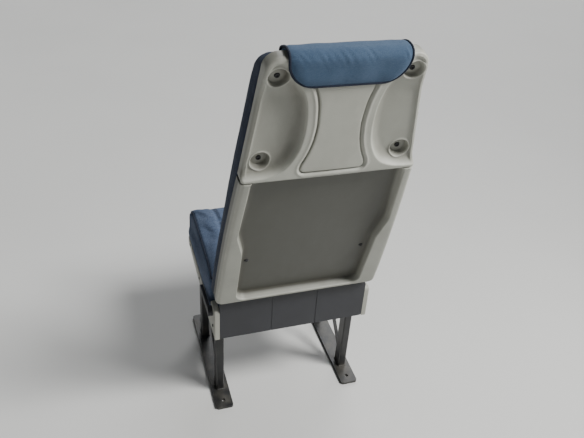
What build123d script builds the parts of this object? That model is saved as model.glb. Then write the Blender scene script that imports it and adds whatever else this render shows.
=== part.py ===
"""A single passenger seat of a minibus, facing +Y, with its aisle side at -X.

The origin is on the floor, in the middle of the four floor bolts. Millimetres.
A two-piece moulded shell closes the back of the reclining backrest. The cushion rests
on a frame of steel tubes with two legs, each bolted to the floor through its runner.
"""

from build123d import *
from math import atan, cos, radians, sin, tan
import os

# The rear face of the shell in side view: two flat runs that meet at the ridge
shell_foot = 395
shell_foot_y = -199.5
lower_shell_height = 433
upper_shell_height = 272
lower_lean = 17.5
upper_lean = 9.8
crown_rise = 14
seat_gap = 0.3

# The cushion, which sets the width of the whole seat
cushion_half = 218
cushion_rear_y = -126
cushion_front_y = 255
cushion_height = 425
cushion_thickness = 107
cushion_rear_drop = 6
cushion_nose_drop = 12
cushion_nose_length = 110
cushion_edge_radius = 20
cushion_rear_radius = 14
cushion_crown_radius = 200
cushion_nose_radius = 34

# The shell seen from behind, and what its two mouldings share
shell_side_inset = 2
shoulder_half = 155
ridge_half = 190
side_bow = 4
rim_depth = 32
shell_wall = 3.5
shoulder_radius = 30
foot_radius = 16
brink_radius = 4

# The hollow cheeks beside the waisted middle of the upper shell
cheek_waist_half = 69
cheek_shoulder_half = 124
cheek_foot_half = 96
cheek_foot_rise = 14
cheek_foot_slope = 4
cheek_foot_radius = 40
cheek_edge_depth = 14
cheek_inner_depth = 24
cheek_floor_radius = 12

# Screw cups in the cheeks: a row below the shoulders and a row above the ridge
upper_cup_half = 132
upper_cup_drop = 40
lower_cup_half = 150
lower_cup_rise = 46
cup_radius = 20
cup_floor_radius = 16
cup_depth = 8
cup_wall = 1.5
screw_head_radius = 6
screw_head_height = 3

# The panel let into the waisted middle
panel_waist_half = 46
panel_end_half = 69
panel_foot_rise = 9
panel_foot_radius = 11
panel_foot_spread = 2
panel_depth = 3
panel_gap = 2.5

# The headrest: a pad in front and a flap behind, sewn over the top of the shell
flap_half = 118
flap_drop = 57
flap_corner_radius = 52
flap_thickness = 6
flap_tuck = 12
flap_overreach = 60
headrest_foot_rise = 107
headrest_thickness = 88
headrest_crown_slope = 24
headrest_rear_drop = 6
headrest_bulge = 6
headrest_foot_inset = 4
headrest_rear_radius = 16
headrest_peak_radius = 40
headrest_bulge_radius = 120
headrest_crown_radius = 22
headrest_foot_radius = 12

# The large recess of the lower shell
recess_depth = 25
recess_head_half = 168
recess_wide_half = 181
recess_wide_drop = 178
recess_waist_half = 165
recess_waist_drop = 243
recess_foot_rise = 13
recess_corner_radius = 26
recess_bend_radius = 50
recess_floor_radius = 8
clip_half = 146
clip_rise = 157
clip_radius = 4
clip_height = 2.5

# Backrest padding
pad_foot_rise = 7
pad_side_reach = 2
pad_thickness = 70
bolster_width = 38
bolster_rise = 15
lumbar_rise = 165
bolster_crown_drop = 40
pad_crown_slope = 14
pad_foot_radius = 60
pad_bend_radius = 240
pad_crown_radius = 50
cushion_clearance = 8

# Backrest frame: one flat bar bent into a hoop, with a crossbar and two hinge lugs
bar_thickness = 16
bar_width = 18
bar_foot_drop = 4
hoop_crown_inset = 5
hoop_crown_drop = 26
hoop_corner_radius = 36
crossbar_rise = 45

# Recliner
pivot_y = -150
pivot_drop = 23
pin_radius = 6
pin_clearance = 0.1
pin_head_radius = 11
pin_head_thickness = 4
lug_radius = 18
lug_thickness = 7
plate_radius = 19
plate_foot_spread = 4
plate_thickness = 6
plate_inset = 12
hinge_gap = 1

# Pan under the cushion
pan_side_inset = 6
pan_sheet = 2.5
pan_rear_y = -120
pan_front_inset = 21
pan_flange = 8
pan_corner_radius = 14

# Tubes of the seat frame, and the legs under them
tube = 30
tube_wall = 2.5
tube_edge_radius = 4
rail_rear_y = -178
rail_front_inset = 27
cross_rear_y = -96
post_width = 22
post_depth = 38
post_wall = 2
post_y = 112
runner_width = 50
runner_thickness = 8
runner_half = 198
runner_corner_radius = 8
bolt_y = 172
bolt_hole_radius = 5.5
brace_width = 26
brace_thickness = 6
brace_rise = 30
brace_drop = 20

# Plastic trim
cover_side_inset = 2
cover_thickness = 14
cover_wall = 3
cover_drop = 48
cover_rear_rise = 52
cover_front_rise = 4
cover_front_drop = 24
cover_corner_radius = 12
apron_drop = 46
apron_shell_gap = 11
apron_thickness = 4
apron_corner_radius = 8
apron_groove_x = 62
apron_groove_width = 3
apron_groove_depth = 1
lever_hub_radius = 14
lever_neck_radius = 12
lever_tip_radius = 8
lever_length = 104
lever_hub_thickness = 12
lever_thickness = 8
lever_hub_drop = 22
lever_tip_drop = 6

# What follows from the sizes above
ridge_height = shell_foot + lower_shell_height
ridge_y = shell_foot_y - lower_shell_height * tan(radians(lower_lean))
shoulder_height = ridge_height + upper_shell_height
crown_height = shoulder_height + crown_rise
headrest_foot = ridge_height + headrest_foot_rise
crown_run = headrest_thickness - headrest_crown_radius - rim_depth
crown_fall = crown_run * tan(radians(headrest_crown_slope))
foot_half = cushion_half - shell_side_inset
pad_foot = shell_foot + pad_foot_rise
pad_depth = rim_depth + seat_gap
pivot_z = shell_foot - pivot_drop
cover_outer = cushion_half - cover_side_inset
rail_outer = cover_outer - cover_thickness
plate_outer = rail_outer - plate_inset
plate_inner = plate_outer - plate_thickness
hoop_foot_half = plate_inner - hinge_gap
hoop_crown_half = shoulder_half - hoop_crown_inset
lug_inner = hoop_foot_half - lug_thickness
pan_half = rail_outer - pan_side_inset
pan_front_y = cushion_front_y - pan_front_inset
rail_front_y = cushion_front_y - rail_front_inset
pan_top = cushion_height - cushion_thickness
rail_top = pan_top - pan_flange
rail_x = rail_outer - tube / 2
post_x = rail_outer - post_width / 2
post_top = rail_top - tube
upper_run = upper_shell_height / cos(radians(upper_lean))
lower_run = lower_shell_height / cos(radians(lower_lean))
cheek_slope = atan((cheek_inner_depth - cheek_edge_depth) / (ridge_half - cheek_waist_half))
sides = ((-1, "left"), (1, "right"))


def leaning_plane(lean):
    """A sketch plane on the rear face: x across, y up the face, z out to the rear."""
    facing = (0, -cos(radians(lean)), -sin(radians(lean)))
    return Plane(origin=(0, ridge_y, ridge_height), x_dir=(1, 0, 0), z_dir=facing)


upper = leaning_plane(upper_lean)
lower = leaning_plane(lower_lean)


def knee(depth):
    """Where the two runs of the rear face meet, on a sheet so deep below it."""
    middle = radians((upper_lean + lower_lean) / 2)
    reach = depth / cos(radians((lower_lean - upper_lean) / 2))
    return (ridge_y + reach * cos(middle), ridge_height + reach * sin(middle))


def layer(height, depth):
    """The point at a height on the sheet lying so deep below the rear face."""
    knee_y, knee_z = knee(depth)
    lean = upper_lean if height > knee_z else lower_lean
    return (knee_y - (height - knee_z) * tan(radians(lean)), height)


def half_width(height):
    """Half the width of the shell at a height."""
    if height > ridge_height:
        share = (height - ridge_height) / upper_shell_height
        return ridge_half + share * (shoulder_half - ridge_half)
    share = (ridge_height - height) / lower_shell_height
    return ridge_half + share * (foot_half - ridge_half)


def save(piece, name):
    piece.part.label = name
    export_step(piece.part, f"parts/{name}.step")


os.makedirs("parts", exist_ok=True)


def cheek_plane(side):
    """The floor of one cheek: it slopes down from the outer edge to the inner wall."""
    edge = upper.from_local_coords((side * ridge_half, 0, -cheek_edge_depth))
    facing = upper.z_dir * cos(cheek_slope) - upper.x_dir * side * sin(cheek_slope)
    across = upper.x_dir * cos(cheek_slope) + upper.z_dir * side * sin(cheek_slope)
    return Plane(edge, x_dir=across, z_dir=facing)


def cheek_outline(side, grow):
    """One cheek, open past the outer edge and the shoulder, in the plane of its floor."""

    def at(x, rise):
        return (side * (x - ridge_half), rise)

    with BuildSketch(mode=Mode.PRIVATE) as outline:
        beyond = ridge_half + rim_depth
        waist = at(cheek_waist_half, upper_run / 2)
        foot = at(cheek_foot_half, cheek_foot_rise)
        with BuildLine():
            wall = TangentArc(waist, at(cheek_shoulder_half, upper_run), tangent=(0, 1))
            TangentArc(waist, foot, tangent=(0, -1))
            top = wall @ 1 + (wall % 1) * rim_depth
            outer_foot = at(beyond, cheek_foot_rise - cheek_foot_slope)
            Polyline(wall @ 1, top, (outer_foot[0], top.Y), outer_foot, foot)
        make_face()
        fillet(outline.vertices().sort_by_distance(foot)[0], cheek_foot_radius)
        if grow:
            offset(amount=grow)
    return outline.sketch


def cheek_hollow(side, inset):
    """What one cheek takes away, its floor rounded up into the inner wall."""
    floor = cheek_plane(side).offset(-inset)
    with BuildPart(mode=Mode.PRIVATE) as hollow:
        with BuildSketch(floor):
            add(cheek_outline(side, inset))
        extrude(amount=cheek_inner_depth + rim_depth)
        bottom = hollow.faces().sort_by(Axis(floor.origin, floor.z_dir))[0]
        fillet(bottom.edges(), cheek_floor_radius + inset)
    return hollow.part


def upper_form(inset):
    """The outside of the upper shell, or with an inset the hollow inside its wall."""
    cheeks = [cheek_hollow(side, inset) for side, word in sides]
    with BuildPart(mode=Mode.PRIVATE) as form:
        with BuildSketch(upper.offset(-inset)) as outline:
            with BuildLine():
                Polyline(
                    (inset - ridge_half, inset),
                    (inset - shoulder_half, upper_run - inset),
                    (shoulder_half - inset, upper_run - inset),
                    (ridge_half - inset, inset),
                    close=True,
                )
            make_face()
            fillet(outline.vertices().group_by(Axis.Y)[-1], shoulder_radius - inset)
        extrude(amount=-rim_depth - inset)
        add(cheeks, mode=Mode.SUBTRACT)
        crest = form.faces().sort_by(Axis(upper.origin, upper.z_dir))[-1]
        fillet(crest.edges().filter_by(lambda e: abs(e.center().X) > 1), brink_radius - inset)
    return form.part


cups = [
    (side, x, rise)
    for side, word in sides
    for x, rise in ((upper_cup_half, upper_run - upper_cup_drop), (lower_cup_half, lower_cup_rise))
]


def cup_plane(side, x, rise):
    """Stands on the cheek's floor at a screw cup."""
    floor = cheek_plane(side)
    spot = floor.from_local_coords((side * (x - ridge_half), rise, 0))
    return Plane(spot, x_dir=floor.x_dir, z_dir=floor.z_dir)


def panel_outline(shrink):
    """The waisted panel between the cheeks, its head hidden under the flap."""
    with BuildSketch(mode=Mode.PRIVATE) as outline:
        head = upper_run - flap_drop + flap_tuck
        bend = panel_foot_rise + 2 * panel_foot_radius
        with BuildLine():
            waist = (panel_waist_half, (head + bend) / 2)
            ThreePointArc((panel_end_half, head), waist, (panel_end_half, bend))
            Polyline(
                (panel_end_half, bend),
                (panel_end_half + panel_foot_spread, panel_foot_rise),
                (0, panel_foot_rise),
            )
            mirror(about=Plane.YZ)
            Line((-panel_end_half, head), (panel_end_half, head))
        make_face()
        fillet(outline.vertices().group_by(Axis.Y)[0], panel_foot_radius)
        if shrink:
            offset(amount=-shrink)
    return outline.sketch


upper_outside = upper_form(0)
upper_inside = upper_form(shell_wall)

with BuildPart() as upper_shell:
    add(upper_outside)
    add(upper_inside, mode=Mode.SUBTRACT)
    for side, x, rise in cups:
        spot = cup_plane(side, x, rise)
        with BuildSketch(spot.offset(-cup_depth - cup_wall)):
            Circle(cup_radius + cup_wall)
        extrude(amount=cup_depth)
        with BuildSketch(spot.offset(-cup_depth)):
            Circle(cup_floor_radius)
        with BuildSketch(spot.offset(seat_gap)):
            Circle(cup_radius)
        loft(mode=Mode.SUBTRACT)
    with BuildSketch(upper.offset(-panel_depth)):
        add(panel_outline(0))
    extrude(amount=rim_depth, mode=Mode.SUBTRACT)
save(upper_shell, "back_shell_upper")

with BuildPart() as centre_panel:
    with BuildSketch(upper.offset(-panel_depth)):
        add(panel_outline(panel_gap))
    extrude(amount=panel_depth)
save(centre_panel, "centre_panel")

with BuildPart() as shell_screws:
    for side, x, rise in cups:
        with BuildSketch(cup_plane(side, x, rise).offset(-cup_depth)):
            Circle(screw_head_radius)
        extrude(amount=screw_head_height)
save(shell_screws, "shell_screws")


def lower_outline(inset):
    """The lower shell seen square on, its sides bowed out a little."""
    with BuildSketch(mode=Mode.PRIVATE) as outline:
        head, foot = -inset, inset - lower_run
        bow = ((ridge_half + foot_half) / 2 + side_bow - inset, (head + foot) / 2)
        with BuildLine():
            ThreePointArc((ridge_half - inset, head), bow, (foot_half - inset, foot))
            Line((foot_half - inset, foot), (0, foot))
            mirror(about=Plane.YZ)
            Line((inset - ridge_half, head), (ridge_half - inset, head))
        make_face()
        fillet(outline.vertices().group_by(Axis.Y)[0], foot_radius - inset)
    return outline.sketch


def recess_hollow(inset):
    """What the large recess takes away: wide beside the knees, narrower lower down."""
    with BuildPart(mode=Mode.PRIVATE) as hollow:
        with BuildSketch(lower.offset(-recess_depth - inset)) as outline:
            head, foot = 1, recess_foot_rise - lower_run
            with BuildLine():
                half_outline = FilletPolyline(
                    (0, head),
                    (recess_head_half, head),
                    (recess_wide_half, -recess_wide_drop),
                    (recess_waist_half, -recess_waist_drop),
                    (recess_waist_half, foot),
                    (0, foot),
                    radius=(
                        recess_corner_radius,
                        recess_bend_radius,
                        recess_bend_radius,
                        recess_corner_radius,
                    ),
                )
                mirror(half_outline, about=Plane.YZ)
            make_face()
            if inset:
                offset(amount=inset)
        extrude(amount=recess_depth + rim_depth)
        bottom = hollow.faces().sort_by(Axis(lower.origin, lower.z_dir))[0]
        fillet(bottom.edges(), recess_floor_radius + inset)
    return hollow.part


def lower_form(inset):
    """The outside of the lower shell, or with an inset the hollow inside its wall."""
    recess = recess_hollow(inset)
    with BuildPart(mode=Mode.PRIVATE) as form:
        with BuildSketch(lower.offset(-inset)):
            add(lower_outline(inset))
        extrude(amount=-rim_depth - inset)
        add(recess, mode=Mode.SUBTRACT)
        crest = form.faces().sort_by(Axis(lower.origin, lower.z_dir))[-1]
        brinks = crest.edges().filter_by(lambda e: e.center().Z < ridge_height - inset - 0.5)
        fillet(brinks, brink_radius - inset)
    return form.part


lower_outside = lower_form(0)
lower_inside = lower_form(shell_wall)

with BuildPart() as lower_shell:
    add(lower_outside)
    add(lower_inside, mode=Mode.SUBTRACT)
    seam = Plane(upper.origin - upper.y_dir * seat_gap, x_dir=(1, 0, 0), z_dir=upper.y_dir)
    split(bisect_by=seam, keep=Keep.BOTTOM)
save(lower_shell, "back_shell_lower")

with BuildPart() as net_clips:
    for side, word in sides:
        spot = lower.from_local_coords((side * clip_half, clip_rise - lower_run, -recess_depth))
        with BuildSketch(Plane(spot, x_dir=lower.x_dir, z_dir=lower.z_dir)):
            Circle(clip_radius)
        extrude(amount=clip_height)
save(net_clips, "net_clips")


def frame_form(grow):
    """The hoop, its crossbar and its hinge lugs, or with a growth the groove for them."""
    rear, front = pad_depth - 3 * grow, pad_depth + bar_thickness + grow
    foot, crown = pivot_z, shoulder_height - hoop_crown_drop
    bar_foot = pad_foot - bar_foot_drop
    with BuildPart(mode=Mode.PRIVATE) as form:
        with BuildSketch(Plane.YZ):
            with BuildLine():
                Polyline(
                    layer(bar_foot, rear),
                    knee(rear),
                    layer(shoulder_height, rear),
                    layer(shoulder_height, front),
                    knee(front),
                    layer(bar_foot, front),
                    close=True,
                )
            make_face()
        extrude(amount=foot_half, both=True)
        with BuildSketch(Plane.XZ) as hoop:
            with BuildLine():
                Polyline(
                    (-hoop_foot_half - grow, foot),
                    (-hoop_crown_half - grow, crown + grow),
                    (hoop_crown_half + grow, crown + grow),
                    (hoop_foot_half + grow, foot),
                    close=True,
                )
            make_face()
            fillet(hoop.vertices().group_by(Axis.Y)[-1], hoop_corner_radius)
            inner_foot = hoop_foot_half - bar_width - grow
            inner_crown = hoop_crown_half - bar_width - grow
            with BuildLine():
                Polyline(
                    (-inner_foot, foot - 1),
                    (-inner_crown, crown - bar_width - grow),
                    (inner_crown, crown - bar_width - grow),
                    (inner_foot, foot - 1),
                    close=True,
                )
            make_face(mode=Mode.SUBTRACT)
            with Locations((0, shell_foot + crossbar_rise)):
                Rectangle(2 * inner_foot, bar_width + 2 * grow)
        extrude(amount=2 * crown_height, both=True, mode=Mode.INTERSECT)
        for side, word in sides:
            with BuildSketch(Plane.YZ.offset(side * (lug_inner - grow))):
                with Locations((pivot_y, pivot_z)):
                    Circle(lug_radius + grow)
                with BuildLine():
                    Polyline(
                        (pivot_y - lug_radius - grow, pivot_z),
                        (pivot_y + lug_radius + grow, pivot_z),
                        layer(shell_foot + crossbar_rise, front),
                        layer(shell_foot + crossbar_rise, rear),
                        layer(bar_foot, rear),
                        close=True,
                    )
                make_face()
            extrude(amount=side * (lug_thickness + 2 * grow))
    return form.part


frame_outside = frame_form(0)
frame_groove = frame_form(seat_gap)

with BuildPart() as back_frame:
    add(frame_outside)
    with BuildSketch(Plane.YZ):
        with Locations((pivot_y, pivot_z)):
            Circle(pin_radius + pin_clearance)
    extrude(amount=foot_half, both=True, mode=Mode.SUBTRACT)
save(back_frame, "back_frame")


def pad_profile(rise):
    """The backrest padding in side view, as thick as its middle plus a rise."""

    def front(height, more=0):
        return (layer(height, 0)[0] + pad_thickness + rise + more, height)

    foot_y = cushion_rear_y - cushion_clearance
    crown = shoulder_height - pad_foot_rise
    with BuildSketch(mode=Mode.PRIVATE) as profile:
        with BuildLine():
            FilletPolyline(
                (foot_y, pad_foot),
                (foot_y, pad_foot + 2 * cushion_clearance),
                front(shell_foot + lumbar_rise),
                front(ridge_height),
                front(shoulder_height - bolster_crown_drop),
                front(crown, -pad_crown_slope),
                radius=(pad_foot_radius, pad_bend_radius, pad_bend_radius, pad_crown_radius),
            )
            Polyline(
                front(crown, -pad_crown_slope),
                layer(crown, pad_depth),
                knee(pad_depth),
                layer(pad_foot, pad_depth),
                (foot_y, pad_foot),
            )
        make_face()
    return profile.sketch


def pad_front_view(reach, crown, corner_radius=0):
    """The padding from the front, reaching so far past the shell's half width."""
    with BuildSketch(mode=Mode.PRIVATE) as view:
        low = pad_foot - 1
        with BuildLine():
            Polyline(
                (half_width(low) + reach, low),
                (half_width(ridge_height) + reach, ridge_height),
                (half_width(crown) + reach, crown),
                (-half_width(crown) - reach, crown),
                (-half_width(ridge_height) - reach, ridge_height),
                (-half_width(low) - reach, low),
                close=True,
            )
        make_face()
        if corner_radius:
            fillet(view.vertices().group_by(Axis.Y)[-1], corner_radius)
    return view.sketch


with BuildPart() as back_cushion:
    with BuildSketch(Plane.YZ):
        add(pad_profile(0))
    extrude(amount=foot_half, both=True)
    with BuildSketch(Plane.XZ):
        add(pad_front_view(-bolster_width - seat_gap, headrest_foot - seat_gap))
    extrude(amount=crown_height, both=True, mode=Mode.INTERSECT)
    add(frame_groove, mode=Mode.SUBTRACT)
save(back_cushion, "back_cushion")

for side, word in sides:
    with BuildPart() as bolster:
        with BuildSketch(Plane.YZ):
            add(pad_profile(bolster_rise))
        extrude(amount=side * (foot_half + 2 * pad_side_reach))
        with BuildSketch(Plane.XZ):
            add(pad_front_view(pad_side_reach, shoulder_height - pad_foot_rise, shoulder_radius))
            add(pad_front_view(-bolster_width, crown_height), mode=Mode.SUBTRACT)
        extrude(amount=crown_height, both=True, mode=Mode.INTERSECT)
        add(frame_groove, mode=Mode.SUBTRACT)
    save(bolster, f"back_bolster_{word}")


def flap_outline():
    """The flap behind, seen square on to the upper face."""
    with BuildSketch(mode=Mode.PRIVATE) as outline:
        foot = upper_run - flap_drop
        height = flap_drop + flap_overreach
        with Locations((0, foot + height / 2)):
            Rectangle(2 * flap_half, height)
        fillet(outline.vertices().group_by(Axis.Y)[0], flap_corner_radius)
    return outline.sketch


def above_shell(rise, depth):
    """A point of the side view, so far above the shoulders and below the rear face."""
    spot = upper.from_local_coords((0, upper_run + rise, -depth))
    return (spot.Y, spot.Z)


def headrest_face(height, more):
    """The front of the headrest in side view, as thick as planned plus a little more."""
    return (layer(height, 0)[0] + headrest_thickness + more, height)


with BuildPart() as headrest:
    with BuildSketch(Plane.YZ):
        with BuildLine():
            flap_foot = above_shell(-flap_drop - 1, -flap_thickness)
            behind_pad = layer(headrest_foot, pad_depth)
            FilletPolyline(
                flap_foot,
                layer(crown_height - headrest_rear_drop, -flap_thickness),
                layer(crown_height, rim_depth),
                headrest_face(crown_height - crown_fall, -headrest_crown_radius),
                headrest_face((crown_height + headrest_foot) / 2, headrest_bulge),
                headrest_face(headrest_foot, -headrest_foot_inset),
                behind_pad,
                radius=(
                    headrest_rear_radius,
                    headrest_peak_radius,
                    headrest_crown_radius,
                    headrest_bulge_radius,
                    headrest_foot_radius,
                ),
            )
            Polyline(
                behind_pad,
                above_shell(seat_gap, pad_depth),
                above_shell(seat_gap, 0),
                above_shell(-flap_drop - 1, 0),
                flap_foot,
            )
        make_face()
    extrude(amount=flap_half - seat_gap, both=True)
    with BuildSketch(upper):
        Rectangle(4 * flap_half, 2 * upper_run)
        add(flap_outline(), mode=Mode.SUBTRACT)
    extrude(amount=2 * flap_thickness, mode=Mode.SUBTRACT)
    add(frame_groove, mode=Mode.SUBTRACT)
save(headrest, "headrest")

with BuildPart() as seat_cushion:
    with BuildSketch(Plane.YZ):
        with BuildLine():
            FilletPolyline(
                (cushion_rear_y, pan_top),
                (cushion_rear_y, cushion_height - cushion_rear_drop),
                (cushion_front_y - cushion_nose_length, cushion_height),
                (cushion_front_y, cushion_height - cushion_nose_drop),
                (cushion_front_y - cushion_nose_drop, pan_top),
                radius=(cushion_rear_radius, cushion_crown_radius, cushion_nose_radius),
            )
            Line((cushion_front_y - cushion_nose_drop, pan_top), (cushion_rear_y, pan_top))
        make_face()
    extrude(amount=cushion_half, both=True)
    side_faces = seat_cushion.faces().group_by(Axis.X)
    side_edges = (side_faces[0].edges() + side_faces[-1].edges()).filter_by(
        lambda e: e.center().Z > pan_top + 1 and e.center().Y > cushion_rear_y + 1
    )
    fillet(side_edges, cushion_edge_radius)
save(seat_cushion, "seat_cushion")

with BuildPart() as seat_pan:
    pan_middle, pan_length = (pan_rear_y + pan_front_y) / 2, pan_front_y - pan_rear_y
    with BuildSketch(Plane.XY.offset(rail_top)):
        with Locations((0, pan_middle)):
            RectangleRounded(2 * pan_half, pan_length, pan_corner_radius)
    extrude(amount=pan_flange)
    with BuildSketch(Plane.XY.offset(rail_top)):
        with Locations((0, pan_middle)):
            RectangleRounded(
                2 * (pan_half - pan_sheet),
                pan_length - 2 * pan_sheet,
                pan_corner_radius - pan_sheet,
            )
    extrude(amount=pan_flange - pan_sheet, mode=Mode.SUBTRACT)
save(seat_pan, "seat_pan")


def tube_section(width, height, wall):
    """A rectangular tube's section."""
    with BuildSketch(mode=Mode.PRIVATE) as section:
        RectangleRounded(width, height, tube_edge_radius)
        Rectangle(width - 2 * wall, height - 2 * wall, mode=Mode.SUBTRACT)
    return section.sketch


rail_z = rail_top - tube / 2

for side, word in sides:
    with BuildPart() as rail:
        with BuildSketch(Plane.XZ.offset(-rail_rear_y).shift_origin((side * rail_x, rail_rear_y, rail_z))):
            add(tube_section(tube, tube, tube_wall))
        extrude(amount=rail_rear_y - rail_front_y + tube)
    save(rail, f"rail_{word}")

with BuildPart() as cross_tube_front:
    with BuildSketch(Plane.YZ.offset(-rail_outer).shift_origin((-rail_outer, rail_front_y - tube / 2, rail_z))):
        add(tube_section(tube, tube, tube_wall))
    extrude(amount=2 * rail_outer)
save(cross_tube_front, "cross_tube_front")

with BuildPart() as cross_tube_rear:
    inner = rail_outer - tube
    with BuildSketch(Plane.YZ.offset(-inner).shift_origin((-inner, cross_rear_y, rail_z))):
        add(tube_section(tube, tube, tube_wall))
    extrude(amount=2 * inner)
save(cross_tube_rear, "cross_tube_rear")

for side, word in sides:
    with BuildPart() as leg:
        with BuildSketch(Plane.XY):
            with Locations((side * post_x, 0)):
                RectangleRounded(runner_width, 2 * runner_half, runner_corner_radius)
            with Locations((side * post_x, -bolt_y), (side * post_x, bolt_y)):
                Circle(bolt_hole_radius, mode=Mode.SUBTRACT)
        extrude(amount=runner_thickness)
        with BuildSketch(Plane.XY.offset(runner_thickness)):
            with Locations((side * post_x, -post_y), (side * post_x, post_y)):
                add(tube_section(post_width, post_depth, post_wall))
        extrude(amount=post_top - runner_thickness)
        with BuildSketch(Plane.YZ.offset(side * (post_x - brace_thickness / 2))):
            start = (post_depth / 2 - post_y, runner_thickness + brace_rise)
            end = (post_y - post_depth / 2, post_top - brace_drop)
            with BuildLine():
                Polyline(
                    start,
                    (start[0], start[1] + brace_width),
                    end,
                    (end[0], end[1] - brace_width),
                    close=True,
                )
            make_face()
        extrude(amount=side * brace_thickness)
    save(leg, f"leg_{word}")

    with BuildPart() as recliner_plate:
        with BuildSketch(Plane.YZ.offset(side * plate_inner)):
            with Locations((pivot_y, pivot_z)):
                Circle(plate_radius)
            with BuildLine():
                Polyline(
                    (pivot_y - plate_radius, pivot_z),
                    (pivot_y - plate_radius - plate_foot_spread, rail_top),
                    (pivot_y + plate_radius + plate_foot_spread, rail_top),
                    (pivot_y + plate_radius, pivot_z),
                    close=True,
                )
            make_face()
            with Locations((pivot_y, pivot_z)):
                Circle(pin_radius, mode=Mode.SUBTRACT)
        extrude(amount=side * plate_thickness)
    save(recliner_plate, f"recliner_plate_{word}")

    with BuildPart() as pin:
        collar = lug_inner - hinge_gap
        with BuildSketch(Plane.YZ.offset(side * collar)):
            with Locations((pivot_y, pivot_z)):
                Circle(pin_radius)
        extrude(amount=side * (plate_outer - collar))
        for start in (collar - pin_head_thickness, plate_outer):
            with BuildSketch(Plane.YZ.offset(side * start)):
                with Locations((pivot_y, pivot_z)):
                    Circle(pin_head_radius)
            extrude(amount=side * pin_head_thickness)
    save(pin, f"recliner_pin_{word}")

    with BuildPart() as cover:
        rear, front = rail_rear_y - apron_thickness, rail_front_y
        step_y = cushion_rear_y - cushion_clearance / 2
        with BuildSketch(mode=Mode.PRIVATE) as outline:
            with BuildLine():
                Polyline(
                    (rear, rail_top - cover_drop),
                    (rear, rail_top + cover_rear_rise),
                    (step_y, rail_top + cover_rear_rise),
                    (step_y, rail_top + cover_front_rise),
                    (front, rail_top + cover_front_rise),
                    (front, rail_top + cover_front_rise - cover_front_drop),
                    (rear + 2 * cover_drop, rail_top - cover_drop),
                    close=True,
                )
            make_face()
            fillet(outline.vertices().group_by(Axis.Y)[-1], cover_corner_radius)
        with BuildSketch(Plane.YZ.offset(side * rail_outer)):
            add(outline.sketch)
        extrude(amount=side * cover_thickness)
        outer_face = cover.faces().sort_by(Axis.X, reverse=side > 0)[0]
        fillet(outer_face.edges(), cover_wall)
        with BuildSketch(Plane.YZ.offset(side * rail_outer)):
            add(outline.sketch)
            offset(amount=-cover_wall, mode=Mode.REPLACE)
        extrude(amount=side * (cover_thickness - cover_wall), mode=Mode.SUBTRACT)
    save(cover, f"side_cover_{word}")

with BuildPart() as rear_apron:
    apron_foot, apron_top = rail_top - apron_drop, shell_foot - apron_shell_gap
    with BuildSketch(Plane.XZ.offset(-rail_rear_y)):
        with Locations((0, (apron_foot + apron_top) / 2)):
            RectangleRounded(2 * rail_outer, apron_top - apron_foot, apron_corner_radius)
    extrude(amount=apron_thickness)
    with BuildSketch(Plane.XZ.offset(-rail_rear_y + apron_thickness)):
        with Locations((-apron_groove_x, rail_top), (apron_groove_x, rail_top)):
            Rectangle(apron_groove_width, 2 * apron_top)
    extrude(amount=-apron_groove_depth, mode=Mode.SUBTRACT)
save(rear_apron, "rear_apron")

with BuildPart() as recline_lever:
    hub = (pivot_y, rail_top + cover_rear_rise - lever_hub_drop)
    tip = (pivot_y + lever_length, hub[1] - lever_tip_drop)
    with BuildSketch(Plane.YZ.offset(-cover_outer)):
        with Locations(hub):
            Circle(lever_hub_radius)
    extrude(amount=-lever_hub_thickness)
    with BuildSketch(Plane.YZ.offset(lever_thickness - lever_hub_thickness - cover_outer)):
        with Locations(hub):
            Circle(lever_neck_radius)
        with Locations(tip):
            Circle(lever_tip_radius)
        make_hull()
    extrude(amount=-lever_thickness)
save(recline_lever, "recline_lever")
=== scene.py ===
# %% [markdown]
# # A minibus passenger seat, dressed for a picture
#
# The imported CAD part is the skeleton: its steel frame, hinge and sizes are final. This lesson
# gives it what a factory would: moulded shells with soft edges, sewn padding, and finishes
# that hold up close to. Lengths in the text are millimetres, and Blender gets metres.

import math

import bmesh
import bpy
import numpy as np
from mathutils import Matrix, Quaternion, Vector, noise
from mathutils.bvhtree import BVHTree
from mathutils.geometry import delaunay_2d_cdt
from mathutils.kdtree import KDTree


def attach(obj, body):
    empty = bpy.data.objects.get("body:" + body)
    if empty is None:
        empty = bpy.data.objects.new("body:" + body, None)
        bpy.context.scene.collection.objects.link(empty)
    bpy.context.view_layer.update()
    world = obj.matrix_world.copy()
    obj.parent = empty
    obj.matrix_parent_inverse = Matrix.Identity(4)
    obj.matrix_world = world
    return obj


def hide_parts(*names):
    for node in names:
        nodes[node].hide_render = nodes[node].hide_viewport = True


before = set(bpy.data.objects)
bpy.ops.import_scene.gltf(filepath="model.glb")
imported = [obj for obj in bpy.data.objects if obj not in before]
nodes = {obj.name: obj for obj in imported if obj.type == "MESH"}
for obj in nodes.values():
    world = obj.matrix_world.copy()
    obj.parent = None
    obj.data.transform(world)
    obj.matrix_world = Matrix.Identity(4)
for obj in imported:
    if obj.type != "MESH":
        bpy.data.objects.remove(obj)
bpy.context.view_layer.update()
MM = 0.001

# %% [markdown]
# ## Shader maths as plain expressions
#
# A finish is a small sum: grain plus blotches minus wear. Wired by hand that takes dozens of
# Math nodes, so a socket is wrapped in a class that knows plus and times. Every operator adds
# the node it needs, and one method adds any other kind of node.


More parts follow.
